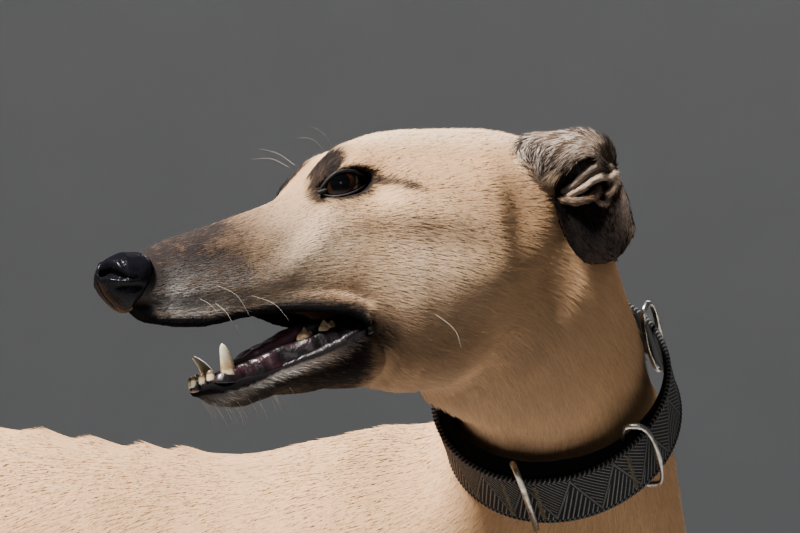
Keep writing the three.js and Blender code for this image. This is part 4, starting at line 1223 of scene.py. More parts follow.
# Teeth, gums and tongue
def ivory_material():
    made = Nodes("ivory", roughness=0.22, specular_ior_level=0.55, coat_weight=0.3, coat_roughness=0.1)
    # The ivory darkens towards brown by this mask: real stains, and on the cheek teeth painted shade as well.
    stain = made.attribute("stain")
    clean = made.mix(made.noise(300.0), (0.66, 0.56, 0.38), (0.80, 0.73, 0.56))
    stained = made.maths("MULTIPLY", stain, made.ramp(made.noise(420.0), 0.15, 0.55))
    return made.finish(made.mix(stained, clean, (0.24, 0.14, 0.06)))


def gum_material():
    made = Nodes("gum", roughness=0.34, specular_ior_level=0.35, coat_weight=0.35, coat_roughness=0.14)
    made.bump(made.noise(700.0), 0.0006, 0.7)
    patches = made.ramp(made.noise(120.0), 0.45, 0.7)
    return made.finish(made.mix(patches, (0.004, 0.003, 0.004), (0.035, 0.010, 0.016)))


def tooth(root, length, width, height, lean, power, sign=1, cusps=(), taper=0.0):
    """A tooth whose t runs from below the gum to the tip. cusps are side points: place and height."""
    def place(t, angle):
        c, s = np.cos(angle), np.sin(angle)
        radius = 0.5 * (1 - taper * t) * np.maximum(0, 1 - t**power) ** 0.62 * np.minimum(1, 0.55 + 4 * t)
        rise = -2.5 + (height + 2.5) * t
        along = length * radius * c
        if cusps:
            cut = sum(high * swell(along / length, at, 0.12) for at, high in cusps)
            rise = np.where(t > 0.45, rise * (0.5 + 0.5 * np.clip(cut, 0, 1)), rise)
        ahead = root[0] + lean[0] * t**2 + along
        aside = root[1] + sign * lean[1] * t**2 + width * radius * s
        return stack(ahead, aside, root[2] + rise)

    return tube(22, 22, place)


GUM_WALL = {
    "front": 56,
    "back": 136,
    "top": profile((56, -27), (64, -23.6), (75, -19), (85, -15), (95.5, -11.6), (103, -9), (110, -6),
                   (120, -4), (136, -2)),
    "bottom": profile((56, -34), (75, -31), (95, -26), (115, -19), (136, -10)),
    "aside": profile((56, 11), (64, 12.2), (85, 15.5), (100, 18), (115, 21.5), (136, 26)),
    "thick": profile((56, 3.2), (85, 3.6), (136, 5)),
}


def gum_wall(sign):
    """The dark wet wall of gum and cheek between the teeth and the lower lip."""
    def place(t, angle):
        s = GUM_WALL["front"] + (GUM_WALL["back"] - GUM_WALL["front"]) * t
        full = round_ends(s, GUM_WALL["front"], GUM_WALL["back"], 6, 6)
        low, high = GUM_WALL["bottom"](s), GUM_WALL["top"](s)
        lumps = 0.07 * np.sin(0.31 * s + 2.4 * np.cos(angle))
        lumps = lumps + 0.05 * np.sin(0.83 * s + 2 * np.sin(0.17 * s) + 3 * angle)
        across = GUM_WALL["thick"](s) * full * (1 + 1.6 * lumps) * np.cos(angle)
        rise = (high - low) / 2 * full * (1 + 0.3 * lumps) * signed_power(np.sin(angle), 0.7)
        return stack(s, sign * (GUM_WALL["aside"](s) + across), (high + low) / 2 + rise)

    wall = tube(36, 150, place)
    return wall if sign < 0 else reversed_faces(wall)


# Cheek teeth below: s, length, height and cusps; above: s, length and height
LOWER_CHEEK = (
    (99.8, 9.5, 5.4, ((-0.1, 1), (-0.4, 0.4), (0.3, 0.55))),
    (111, 10.5, 5.0, ((-0.26, 1), (0.2, 0.65))),
)
UPPER_CHEEK = ((31, 6, 4.5), (50, 5, 3), (61, 7, 3.5), (73, 8, 4), (88, 13, 4.5))
teeth = Pile()
gums = Pile()


def hung(form, height):
    """A tooth turned upside down about a height, for the upper jaw."""
    places, faces = reversed_faces(form)
    places[:, 2] = 2 * height - places[:, 2]
    return places, faces


def lower_front_teeth(sign):
    for i, size in enumerate((0.9, 1.05, 1.2)):
        root = (46.6 + 3.2 * i, sign * (1.9 + 3.3 * i), -30.4 + 1.1 * i)
        worn = root[2] + 3.6 - 1.5
        teeth.add(tooth(root, 3.6 * size, 3.4 * size, 3.6, (-0.5, 0.2), 4, sign), from_head,
                  stain=lambda p: np.maximum(0.3, 2.2 * swell(p[:, 2], worn, 0.8)))
        gums.add(tooth((root[0] + 1.3, root[1], root[2] - 1.8), 4.8, 4.8, 3.0, (0, 0), 3), from_head)


def lower_canine(sign):
    """The far canine is shorter and leans further forward than the near one."""
    height, lean = (14.8, -4.2) if sign < 0 else (12.6, -7.5)
    teeth.add(tooth((60.8, sign * 12.6, -27.5), 9.0, 6.6, height, (lean, 4.0), 8, sign, taper=0.5), from_head,
              stain=lambda p: np.clip(1.2 - (p[:, 2] + 25) / 7, 0, 0.9))
    gums.add(tooth((60.5, sign * 12, -30), 15, 9, 5.6, (0, 0), 2.4), from_head)


def lower_cheek_teeth(sign):
    for s, length, height, cusps in LOWER_CHEEK:
        base = float(GUM_WALL["top"](s))
        root = (s, sign * float(GUM_WALL["aside"](s)), base)
        # Real stain and painted shade: these teeth stay at least 0.6 towards the brown, as they lie in the
        # shade of the cheeks.
        teeth.add(tooth(root, length, 4.4, height, (0.4, 0.2), 2.6, sign, cusps), from_head,
                  stain=lambda p: np.clip(1.3 - (p[:, 2] - base) / 6, 0.6, 1))


def upper_teeth(sign):
    for s, length, height in UPPER_CHEEK:
        rise = float(UPPER_ROLL(s) + lip_lift(s, 20.0 * sign)) + 5.5
        root = (s, sign * float(np.interp(s, (31, 60, 88), (7.5, 10.5, 14.5))), rise)
        lean = -1.5 if s < 40 else 0
        teeth.add(hung(tooth(root, length, 4.6, height, (lean, 0.5), 2.5, sign), rise), from_head, stain=0.4)
    for v in (2.2, 6.0):
        front = tooth((24 + v * 0.25, sign * v, 6.5), 3.2, 3.8, 2.4, (0, 0), 5)
        teeth.add(hung(front, 6.5), from_head, stain=0.4)


for sign in SIDES:
    lower_front_teeth(sign)
    lower_canine(sign)
    lower_cheek_teeth(sign)
    upper_teeth(sign)
for sign in SIDES:
    gums.add(gum_wall(sign), from_head)
teeth.make("teeth", slot="tongue", material=ivory_material())
gums.make("gums", slot="tongue", material=gum_material())

TONGUE = {
    "tip": 67,
    "back": 134,
    "top": profile((67, -20.5), (72, -17.5), (78, -13.5), (88, -9.3), (96.5, -4.5), (110, -0.5), (134, 0)),
    "bottom": profile((67, -22), (75, -22), (90, -17.5), (105, -12), (120, -6), (134, -3)),
    "half_width": profile((67, 9), (75, 12), (90, 13), (110, 15), (134, 15)),
}


def tongue_place(t, angle):
    s = TONGUE["tip"] + (TONGUE["back"] - TONGUE["tip"]) * t
    full = round_ends(s, TONGUE["tip"], TONGUE["back"], 12, 8)
    middle = (TONGUE["top"](s) + TONGUE["bottom"](s)) / 2
    half = (TONGUE["top"](s) - TONGUE["bottom"](s)) / 2 * full
    width = TONGUE["half_width"](s) * full
    v = width * signed_power(np.cos(angle), 0.8)
    w = middle + half * signed_power(np.sin(angle), 0.75)
    furrow = 2.2 * swell(v, 0, 2.2) * smooth(0, 10, s - TONGUE["tip"]) * (np.sin(angle) > 0)
    cup = 1.6 * (np.abs(v) / np.maximum(width, 1)) ** 2 * (np.sin(angle) > 0)
    wave = 0.35 * np.sin(0.9 * s + v * 0.3) * full
    return stack(s, v, w - furrow + cup + wave)


def tongue_material():
    made = Nodes("tongue_wet", roughness=0.3, specular_ior_level=0.5, coat_weight=0.35, coat_roughness=0.15,
                 subsurface_weight=0.15, subsurface_scale=0.004)
    made.bump(made.maths("ADD", made.noise(1400.0), made.noise(260.0)), 0.0007, 0.6)
    patches = made.ramp(made.noise(60.0), 0.35, 0.65)
    colour = made.mix(patches, (0.045, 0.014, 0.026), (0.12, 0.032, 0.052))
    # Painted shade: the back of the tongue, deep in the mouth, darkens towards black.
    return made.finish(made.mix(made.attribute("deep"), colour, (0.004, 0.002, 0.003)))


tongue = Pile()
# The mask darkens the tongue's back as painted shade inside the mouth.
tongue.add(tube(56, 70, tongue_place), from_head, deep=lambda p: smooth(92, 108, p[:, 0]))
tongue.make("tongue_soft", node="tongue", slot="tongue", material=tongue_material())


# Ears: a curled hood that runs back from the skull, and a flap that hangs from under it along the neck
EAR_HOOD = {
    "path": Path([(206, 30, 72), (222, 35, 86), (238, 40, 88.5), (252, 42, 88.5), (261.5, 42.5, 83),
                  (265, 42, 72), (264.5, 40, 62)], by_length=True),
    "half_width": profile((0, 17), (0.25, 21), (0.38, 21), (0.52, 16), (0.75, 14), (1, 10)),
    "curl": profile((0, 105), (0.3, 88), (0.42, 76), (0.52, 54), (0.75, 46), (1, 34)),
    "thickness": profile((0, 2.6), (0.5, 2.2), (1, 1.8)),
    "across": np.array([(0.14, 0.72, -0.6), (-0.5, 0.8, -0.25)]),
}
EAR_FLAP = {
    "path": Path([(247, 37, 80), (249, 40, 62), (251, 42.5, 46), (255, 44, 35), (260, 45, 25)],
                 by_length=True),
    "half_width": profile((0, 12), (0.25, 16.5), (0.55, 20), (0.8, 17.5), (1, 12)),
    "curl": profile((0, 30), (0.5, 38), (1, 24)),
    "thickness": profile((0, 2.1), (1, 1.7)),
    "across": np.array([(0.9, 0.35, 0), (0.95, 0.25, 0.1)]),
}
# Ridges and folds of the ear's hollow: radius, masks, then the points
EAR_RIDGES = (
    (1.6, {"dark": 0.7, "pale": 0.22, "grey": 0.28},
     ((234, 36, 58), (239, 45, 62.6), (243, 47.5, 66.4), (248, 49, 70.2), (253, 49.5, 72.2),
      (257, 49.5, 71.4), (260, 48, 68.6))),
    (1.5, {"dark": 0.6, "pale": 0.3, "grey": 0.25},
     ((235, 38, 56), (239.5, 46, 58.6), (243.3, 48.5, 60.8), (247.6, 49.5, 63.6), (251.8, 50.5, 65.4),
      (255.6, 50.8, 65.6), (258.6, 50.8, 66.6), (260.6, 50.5, 64.4), (259.8, 50, 61), (257.8, 48.5, 58.8))),
    (1.3, {"dark": 0.85, "pale": 0.1, "grey": 0.2},
     ((240, 44, 61), (244, 46, 64.5), (248.7, 47, 67.6), (253.4, 47.5, 70), (259.7, 47, 70.6))),
    # The thick roll below the ridges is fawn fur painted dark as the shade beneath the hood.
    (2.3, {"dark": 0.86, "pale": 0.0, "grey": 0.05},
     ((231, 34, 57.5), (235, 41, 55.5), (240, 45.5, 54.3), (245.7, 47, 55.4), (251.5, 46, 58.5),
      (255, 42, 62))),
    (1.2, {"dark": 0.85, "pale": 0.1, "grey": 0.15},
     ((250, 44, 57.8), (252, 46, 54.5), (255, 46, 53.5), (258, 46, 55.4), (259.3, 44, 58.7))),
)


def sheet_at(sheet, t, angle, out=0.0):
    """A point of an ear's sheet: angle 0 and 180 are its edges, 90 the middle of the outer side."""
    centre, axis = sheet["path"].point(t), sheet["path"].tangent(t)
    first, last = sheet["across"]
    outward = first + (last - first) * np.asarray(t)[..., None]
    back = np.cross(axis, outward)
    back /= np.linalg.norm(back, axis=-1, keepdims=True)
    hinge = np.cross(back, axis)
    curl = np.radians(sheet["curl"](t))
    full = sheet["half_width"](t)
    width = full * round_ends(t, 0, 1, 0.1, 0.16)
    bend = full / curl
    across = np.cos(angle) * width / full * curl
    side = np.sin(angle)
    ripple = 0.35 * np.sin(9 * np.cos(angle) + 14 * t) * np.minimum(1, width / 10)
    thick = np.sqrt(np.abs(side)) * sheet["thickness"](t) * np.minimum(1, width / 8) / 2
    radius = bend + ripple + np.sign(side) * (thick + out)
    turned = back * (radius * np.cos(across) - bend)[..., None]
    return centre + turned + hinge * (radius * np.sin(across))[..., None]


def flap_zones(t, angle):
    """How far a point of the flap belongs to its rear edge and to the hollow at its top."""
    rear = smooth(0.55, 0.98, np.cos(angle)) * smooth(0.95, 0.8, t)
    return rear, smooth(0.3, 0.08, t) * (1 - rear)


def flap_masks(t, angle):
    """The flap is dark fur taken to near black by painted shade under the hood's fold, with a greyer rear
    edge and a paler hollow.
    """
    rear, hollow = flap_zones(t, angle)
    return {
        "dark": 0.95 - 0.1 * hollow,
        "pale": 0 * t,
        "grey": 0.16 * rear + 0.12 * hollow,
        "pink": 0.3 * hollow,
        "black": 0.93 - 0.35 * rear - 0.8 * hollow,
        "bare": 0 * t,
    }


def hood_masks(t, angle):
    """The hood is streaked grey-brown outside; its inside is painted near black as the shade in the ear's
    hollow.
    """
    lower = (np.cos(angle) > 0) * np.abs(np.cos(angle)) ** 8
    inner = smooth(0.1, -0.25, np.sin(angle))
    tip = smooth(0.72, 1, t)
    fawn = smooth(0.16, 0.02, t)
    tuft = lower * smooth(0.1, 0.22, t) * smooth(0.48, 0.36, t)
    return {
        "dark": (0.92 - 0.5 * fawn) * (1 - 0.8 * tuft),
        "pale": tuft * 0.9,
        "grey": 0.14 * (1 - tip) * (1 - inner) * (1 - fawn),
        "pink": 0.08 * inner,
        "black": np.clip(0.8 * inner + 0.3 * tip, 0, 1),
        "bare": 0.1 * inner,
    }


def add_sheet(ear, sheet, around, along, masks_at, sign):
    """One sheet of an ear, with the masks of every ring and of both poles."""
    form = tube(around, along, lambda t, angle: sheet_at(sheet, t, angle) * (1, sign, 1))
    t = (1 - np.cos(np.linspace(0, np.pi, along + 1)))[1:-1] / 2
    rings_t, rings_angle = np.meshgrid(t, np.arange(around) * 2 * np.pi / around, indexing="ij")
    masks = masks_at(np.append(rings_t, [0, 1]), np.append(rings_angle, [0, 0]))
    ear.add(reversed_faces(form) if sign > 0 else form, from_head, **masks)


SKIN_LOOK = skin.data.materials[0]
for label, sign in (("ear_left", -1), ("ear_right", 1)):
    ear = Pile()
    add_sheet(ear, EAR_HOOD, 72, 76, hood_masks, sign)
    add_sheet(ear, EAR_FLAP, 64, 60, flap_masks, sign)
    for thick, masks, points in EAR_RIDGES:
        ridge = rod(Path(mirrored(points, sign)), lambda t: thick * soft_ends(t, 3), 14, 48,
                    ripple=lambda t, a: 0.12 * np.sin(23 * t + a))
        ear.add(ridge, from_head, pink=0, black=0, bare=0, **masks)
    ear.make(label + "_coat", node=label, material=SKIN_LOOK)

# Collar: black webbing hatched on both sides of a zigzag, roped edges, a velvet lining and three wire loops
COLLAR = {
    "centre": np.array([83.5, -65, 713]),
    "aside": np.array([0.94, 0, 0.342]),
    "throat": np.array([0.255, -0.667, -0.7]),
    "radius": 63,
    "width": 38,
    "thickness": 3,
    "padding": 2.5,
    "loops": {"collar_loop_rear": -16, "collar_loop_middle": 60, "collar_loop_front": 122},
    "wire": 1.6,
    "lean": 0.6,
}
COLLAR_WAY = np.cross(COLLAR["throat"], COLLAR["aside"])
COLLAR_WAY /= np.linalg.norm(COLLAR_WAY)


def collar_frame(turn):
    """Middle of the webbing at a turn round the neck, then the directions along it and out of it."""
    out = COLLAR["aside"] * np.cos(turn)[..., None] + COLLAR["throat"] * np.sin(turn)[..., None]
    out /= np.linalg.norm(out, axis=-1, keepdims=True)
    return COLLAR["centre"] + out * COLLAR["radius"], np.cross(COLLAR_WAY, out), out


def padding(turn):
    return COLLAR["padding"] * ((1 + np.sin(turn)) / 2) ** 1.5


def shade_filling_swell(turn):
    """How far the lining swells inwards on the side of the throat, until it meets the fur: part padding, and
    part black velvet put where the gap between band and throat lies in shade.
    """
    samples = np.linspace(0, 2 * np.pi, 73)
    inward = np.linspace(0, 13, 27)
    edge, _, out = collar_frame(samples)
    places = (edge[:, None] - out[:, None] * (1.4 + inward)[:, None]).reshape(-1, 3).T
    free = np.minimum(neck_gap(*places), torso_gap(*places)).reshape(len(samples), len(inward)) > 0.2
    slack = inward[np.cumprod(free, axis=1).sum(1).clip(1) - 1]
    share = np.interp(np.degrees(samples), (0, 30, 100, 225, 260, 360), (0, 0.2, 1, 1, 0, 0))
    return np.interp(turn, samples, slack * share)


def ring(around, along, place):
    """A closed loop of sections as places and quads: place(turn, angle)."""
    turn = np.arange(along) * 2 * np.pi / along
    angle = np.arange(around) * 2 * np.pi / around
    rings_turn, rings_angle = np.meshgrid(turn, angle, indexing="ij")
    places = place(rings_turn, rings_angle).reshape(-1, 3)
    i, j = np.meshgrid(np.arange(along), np.arange(around), indexing="ij")
    following, after = (i + 1) % along, (j + 1) % around
    corners = [i * around + j, following * around + j, following * around + after, i * around + after]
    return places, [np.stack(corners, axis=-1).reshape(-1, 4)]


def band(inner, outer, half_width, power=0.3, around=40, along=260):
    """A flat loop of the collar between two depths from the middle of the webbing."""
    def place(turn, angle):
        centre, _, out = collar_frame(turn)
        thick = signed_power(np.cos(angle), power)
        wide = signed_power(np.sin(angle), power)
        low, high = inner(turn), outer(turn)
        depth = (low + high) / 2 + (high - low) / 2 * thick
        return centre + out * depth[..., None] + COLLAR_WAY * (wide * half_width)[..., None]

    return ring(around, along, place)


def along_collar(places):
    gone = places - COLLAR["centre"]
    return np.arctan2(gone @ COLLAR["throat"], gone @ COLLAR["aside"]) * COLLAR["radius"]


def across_collar(places):
    return (places - COLLAR["centre"]) @ COLLAR_WAY


WEAVE_MASKS = {"along": along_collar, "across": across_collar}


def webbing_material():
    """A zigzag down the band: each side of it is hatched with fine pale lines that lean its own way."""
    made = Nodes("webbing", roughness=0.7, specular_ior_level=0.12)
    along, across = made.attribute("along"), made.attribute("across")
    zigzag = made.ramp(made.maths("PINGPONG", along, 12.0), 0.0, 12.0, -15.0, 15.0)
    past = made.maths("SUBTRACT", across, zigzag)
    above = made.ramp(past, -0.1, 0.1)

    def hatch(lean):
        phase = made.maths("ADD", along, made.maths("MULTIPLY", across, lean))
        return made.ramp(made.wave(phase, 2.6), 0.45, 0.85)

    lines = made.add("ShaderNodeMix", {0: above, 2: hatch(0.3), 3: hatch(-0.9)}).outputs[0]
    border = made.ramp(made.maths("ABSOLUTE", past, 0.0), 2.4, 3.0)
    outline = made.maths("MULTIPLY", made.ramp(made.maths("ABSOLUTE", past, 0.0), 1.4, 1.0),
                         made.ramp(made.maths("ABSOLUTE", past, 0.0), 0.2, 0.5))
    pattern = made.maths("MAXIMUM", made.maths("MULTIPLY", lines, border), outline)
    thread = made.ramp(made.noise(1500.0, 2.0), 0.3, 0.7, 0.5, 1.0)
    pale = made.maths("MULTIPLY", pattern, thread)
    weave = made.maths("MULTIPLY", made.wave(across, 0.9), made.wave(along, 1.1))
    black = made.mix(made.ramp(weave, -1.0, 1.0), (0.003, 0.003, 0.004), (0.010, 0.010, 0.012))
    made.bump(made.maths("ADD", weave, made.maths("MULTIPLY", pale, 1.5)), 0.0003, 0.8)
    return made.finish(made.mix(made.maths("MULTIPLY", pale, 0.9), black, (0.20, 0.20, 0.195)))


def cloth_material(name, dark, light, roughness, stripe=0.0, sheen=0.05):
    made = Nodes(name, roughness=roughness, sheen_weight=sheen, specular_ior_level=0.12)
    grain = made.noise(1300.0)
    if stripe:
        along, across = made.attribute("along"), made.attribute("across")
        phase = made.maths("ADD", along, made.maths("MULTIPLY", across, 0.7))
        grain = made.ramp(made.wave(phase, stripe), 0.3, 0.8)
    made.bump(made.noise(1600.0), 0.0003, 0.6)
    return made.finish(made.mix(grain, dark, light))


HALF_BAND = COLLAR["width"] / 2


def at_depth(depth):
    return lambda turn: depth + 0 * turn


# The lining's inner face, swollen on the throat's side so that black velvet fills the shaded gap.
def lining_depth(turn):
    return -1.4 - np.maximum(padding(turn), shade_filling_swell(turn))


def rope(edge):
    """The twisted rope along one edge of the webbing."""
    def place(turn, angle):
        centre, _, out = collar_frame(turn)
        radius = 1.35 * (1 + 0.16 * np.sin(150 * turn + 2 * angle))
        outward = out * (0.45 + radius * np.cos(angle))[..., None]
        upward = COLLAR_WAY * (edge * (HALF_BAND - 1.4) + radius * np.sin(angle))[..., None]
        return centre + outward + upward

    return ring(12, 900, place)


def bar_tacks(at):
    """Dense stitches on both sides of a loop."""
    for shift in (-7.5, 9.5):
        for row in np.linspace(-1, 1, 17):
            turn = np.radians(at) + (shift + 0.25 * math.sin(40 * row)) / COLLAR["radius"]
            centre, along, out = collar_frame(np.array(turn))
            middle = centre + out * 1.45 + COLLAR_WAY * row * (HALF_BAND - 5)
            ends = [middle - along * 1.3, middle + along * 0.1 + out * 0.25, middle + along * 1.5]
            yield rod(Path(ends), lambda t: 0.42 * soft_ends(t, 4), 6, 8, up=tuple(COLLAR_WAY))


webbing = Pile()
webbing.add(band(at_depth(0.25), at_depth(1.3), HALF_BAND - 1.6), **WEAVE_MASKS)
webbing.make("collar_webbing", node="collar_band", slot="webbing", material=webbing_material())
lining = Pile()
lining.add(band(lining_depth, at_depth(0.1), HALF_BAND - 0.5, power=0.45))
lining.make("collar_lining", node="collar_band", slot="webbing",
            material=cloth_material("velvet", (0.002, 0.002, 0.0025), (0.005, 0.005, 0.006), 0.95))
ropes = Pile()
for edge in (-1, 1):
    ropes.add(rope(edge), **WEAVE_MASKS)
ropes.make("collar_edging", node="collar_band", slot="webbing",
           material=cloth_material("edging", (0.005, 0.005, 0.006), (0.10, 0.098, 0.095), 0.7, stripe=2.6))
stitches = Pile()
for at in COLLAR["loops"].values():
    for stitch in bar_tacks(at):
        stitches.add(stitch)
stitches.make("collar_stitches", node="collar_band", slot="webbing",
              material=cloth_material("stitches", (0.10, 0.082, 0.055), (0.22, 0.18, 0.12), 0.7))


def metal_material(name, dark, light, roughness=0.24):
    made = Nodes(name, metallic=1.0)
    worn = made.ramp(made.noise(240.0, 5.0), 0.35, 0.7)
    made.bump(made.noise(500.0), 0.0002, 0.3)
    return made.finish(made.mix(worn, light, dark), made.ramp(worn, 0.0, 1.0, roughness, roughness + 0.2))


def wire_loop(at):
    """A rounded oval of wire round the band, turned a little about its height."""
    turn = math.radians(at)
    centre, along, out = collar_frame(np.array(turn))
    wire, lean, outer = COLLAR["wire"], COLLAR["lean"], 7
    inner = COLLAR["thickness"] / 2 + padding(turn) + wire + 1.4
    half_depth = (inner + outer) / 2 / math.cos(lean)
    half_height = HALF_BAND + 7
    middle = centre + out * (outer - inner) / 2 + COLLAR_WAY * 3
    depth = out * math.cos(lean) + along * math.sin(lean)
    sideways = np.cross(COLLAR_WAY, depth)

    def place(around, angle):
        c, s = np.cos(around), np.sin(around)
        size = (np.abs(c / half_height) ** 3 + np.abs(s / half_depth) ** 3) ** (-1 / 3)
        radial = COLLAR_WAY * c[..., None] + depth * s[..., None]
        outward = radial * (wire * np.cos(angle))[..., None]
        return middle + radial * size[..., None] + outward + sideways * (wire * np.sin(angle))[..., None]

    return ring(20, 140, place)


STEEL = metal_material("steel_wire", (0.22, 0.20, 0.17), (0.50, 0.48, 0.44))
for label, at in COLLAR["loops"].items():
    loop = Pile()
    loop.add(wire_loop(at))
    loop.make(label + "_wire", node=label, slot="collar_metal", material=STEEL)


# Coat: thin closed tufts that lie along the body, their colours taken from the same masks as the skin
TUFT_FACES = np.array([(0, 1, 2), (0, 3, 1), (1, 3, 2), (2, 3, 0)])
TUFT_PATCH = np.array([(-1, -1), (1, -1), (0, 0), (0, 1)]) * 0.0015
TUFT_SHADE = np.array([0.34, 0.34, 0.44, 0.55])  # from the two corners at the root to the tip
TUFT_SUNK = 0.35
TUFT_TURN = 0.13  # how far tufts stray from the lie of the coat, in radians


def unit(vectors):
    return vectors / np.maximum(np.linalg.norm(vectors, axis=-1, keepdims=True), 1e-9)


def add_tufts(name, root, normal, flow, length, width, lift, masks, unwrap, material):
    """One coat piece: a slender closed tuft of four faces at every root, with its patch of the bake map."""
    flow = unit(flow - normal * (flow * normal).sum(1, keepdims=True))
    across = np.cross(normal, flow)
    turn = rng.normal(0, TUFT_TURN, len(root))[:, None]
    flow = unit(flow + across * turn)
    across = np.cross(normal, flow)
    half = (width / 2)[:, None]
    low = root - normal * TUFT_SUNK
    back = root + normal * half * 0.45 - flow * half
    tip = root + (flow * np.cos(lift)[:, None] + normal * np.sin(lift)[:, None]) * length[:, None]
    places = np.stack([low + across * half, low - across * half, back, tip], axis=1)
    faces = (np.arange(len(root))[:, None, None] * 4 + TUFT_FACES).reshape(-1, 3)
    spread = {label: np.repeat(values, 4) for label, values in masks.items()}
    tone = rng.random(len(root))
    spread["shade"] = (TUFT_SHADE + 0.4 * tone[:, None]).ravel()
    piece = add_mesh(name, places.reshape(-1, 3), faces, spread, slot="coat", material=material)
    corner = (np.arange(len(root))[:, None, None], TUFT_FACES)
    patch = (unwrap[:, None, :] * 0.99 + 0.005 + TUFT_PATCH)[corner]
    piece.data.uv_layers.new(name="OFBake").data.foreach_set("uv", patch.astype(np.float32).ravel())
    piece.data.normals_split_custom_set_from_vertices(np.repeat(normal, 4, axis=0))
    return piece


def scatter(places, quads, normals, density):
    """Random roots on the quads, so many to the square millimetre."""
    corners = places[quads]
    middle = corners.mean(1)
    area = np.linalg.norm(np.cross(corners[:, 2] - corners[:, 0], corners[:, 3] - corners[:, 1]), axis=1) / 2
    expected = area * density(middle)
    count = np.floor(expected + rng.random(len(expected))).astype(int)
    chosen = np.repeat(np.arange(len(quads)), count)
    u, v = rng.random((2, len(chosen), 1))
    weights = ((1 - u) * (1 - v), u * (1 - v), u * v, (1 - u) * v)
    root = sum(w * places[quads[chosen, k]] for k, w in enumerate(weights))
    normal = unit(sum(w * normals[quads[chosen, k]] for k, w in enumerate(weights)))
    return root, normal


def head_sides(p):
    s, v, w = head_place(p[:, 0], p[:, 1], p[:, 2])
    return s, np.abs(v), w


def neck_along(p):
    return neck_place(*p.T)[0]


def coat_density(p):
    """Tufts to the square millimetre, most on the near side of the head and neck."""
    x, y, z = p.T
    s, side, w = head_sides(p)
    on_head = (side < 80) & (s < 262) & (w > -60)
    near_side = (head_place(x, y, z)[1] < 6) | (s < 100)
    dense = np.full(len(p), 0.17)
    dense = np.where((x > -300) & (z > 560), 0.22, dense)
    dense = np.where((x > -262) & (x < 130) & (z > 610), 0.42, dense)
    neck = (z > 590) & (x > -20) & (neck_along(p) > 0.15)
    dense = np.where(neck, np.where(y < 10, 0.62, 0.4), dense)
    dense = np.where(on_head, np.where(near_side, 1.15, 0.5), dense)
    return np.where(z < 60, 0.45, dense)


def bare_places(p):
    """Where no hair grows: in the mouth, on the nose, in the eyes, under the collar and on the soles."""
    s, side, w = head_sides(p)
    eye = almond(s, w, 13.8, 6.8) < 1
    nose = (s < NOSE["back"] - 1) & (w > NOSE["bottom"](np.clip(s, 0, 26)) - 0.5) & (side < 25)
    gone = p - COLLAR["centre"]
    collar = (np.abs(gone @ COLLAR_WAY) < COLLAR["width"] / 2 - 1) & (np.linalg.norm(gone, axis=1) < 75)
    masks = markings(p)
    wet = (masks["black"] > 0.7) | (masks["pink"] > 0.1)
    return (eye & (side > 18)) | nose | collar | wet | (p[:, 2] < 2.2)


def lie_of_hair(p):
    """The way the hair points: back over the head, down the neck, back and down the body, down the legs."""
    x, y, z = p.T
    flow = np.zeros_like(p)

    def blend_in(gap, way, strength=1.0):
        weight = strength * np.exp(-np.clip(gap, 0, 60) / 7)
        np.add(flow, way * weight[:, None], out=flow)

    s, v, w = head_place(x, y, z)
    side = np.abs(v)
    brow = swell(s, 112, 12) * smooth(60, 75, w)
    down = 0.42 * smooth(95, 165, s) * smooth(75, 20, w) + 0.35 * smooth(0, -40, w)
    around = 0.8 * swell(s, 116, 14) * swell(w, 64, 14) * np.sign(w - 63) * smooth(10, 20, side)
    outward = np.sign(v) * (0.15 + 0.3 * brow) * smooth(70, 95, w)
    head_way = np.stack([np.ones_like(s), outward, 0.12 + around - down], axis=1)
    blend_in(head_gap(x, y, z), unit(head_way) @ HEAD_TURN.T, 1.4)
    jaw_way = np.stack([np.ones_like(s), 0 * s, -0.25 + 0 * s], axis=1)
    blend_in(jaw_gap(x, y, z), unit(jaw_way) @ HEAD_TURN.T)
    blend_in(neck_gap(x, y, z), -NECK["path"].tangent(neck_along(p)) + (-0.25, 0, -0.1))
    flank = np.clip(np.abs(y) / 60, 0, 1)
    chest = smooth(60, 150, x)
    torso_way = np.stack([-1 + 0.9 * chest, 0.1 * np.sign(y), -0.15 - 0.5 * flank - 0.8 * chest], axis=1)
    blend_in(torso_gap(x, y, z), torso_way)
    blend_in(tail_gap(x, y, z), TAIL["path"].tangent(TAIL["path"].nearest(x, y, z)))
    for stance in STANCE.values():
        lower = smooth(90, 45, z)
        leg_way = np.stack([-0.25 + 1.1 * lower, 0 * x, -1 + 0.45 * lower], axis=1)
        blend_in(leg_gap(*stance)(x, y, z), leg_way)
    return flow


def coat_form(p):
    """Length, width and lift of the tufts at their roots, smallest on the face and the feet."""
    x, _, z = p.T
    s, side, w = head_sides(p)
    on_head = smooth(262, 225, s) * (side < 85) * smooth(-75, -50, w)
    face = np.interp(s, (10, 60, 110, 160, 230), (2.6, 3.6, 4.6, 6.2, 8))
    neck = smooth(585, 640, z) * smooth(-40, 20, x)
    belly = 3 * smooth(440, 400, z) * smooth(-330, -280, x)
    thigh = 3 * smooth(-480, -540, x) * smooth(250, 350, z)
    length = 11 - 2.2 * neck + belly + thigh
    length = np.where(z < 330, np.interp(z, (0, 40, 90, 330), (4, 4.5, 6.5, 9)), length)
    length = length * (1 - on_head) + face * on_head
    width = np.where(z < 120, 0.6, 0.95) * (1 - 0.35 * neck)
    width = width * (1 - on_head) + np.interp(s, (10, 60, 160, 230), (0.34, 0.4, 0.5, 0.6)) * on_head
    lift = np.radians(3.4 + 4.6 * neck + 2.1 * on_head)
    spread = rng.random((3, len(p)))
    return length * (0.7 + 0.6 * spread[0]), width * (0.75 + 0.5 * spread[1]), lift * (0.5 + spread[2])


def normalised(*parts):
    return np.stack([np.clip((value - low) / (high - low), 0, 1) for value, low, high in parts], axis=1)


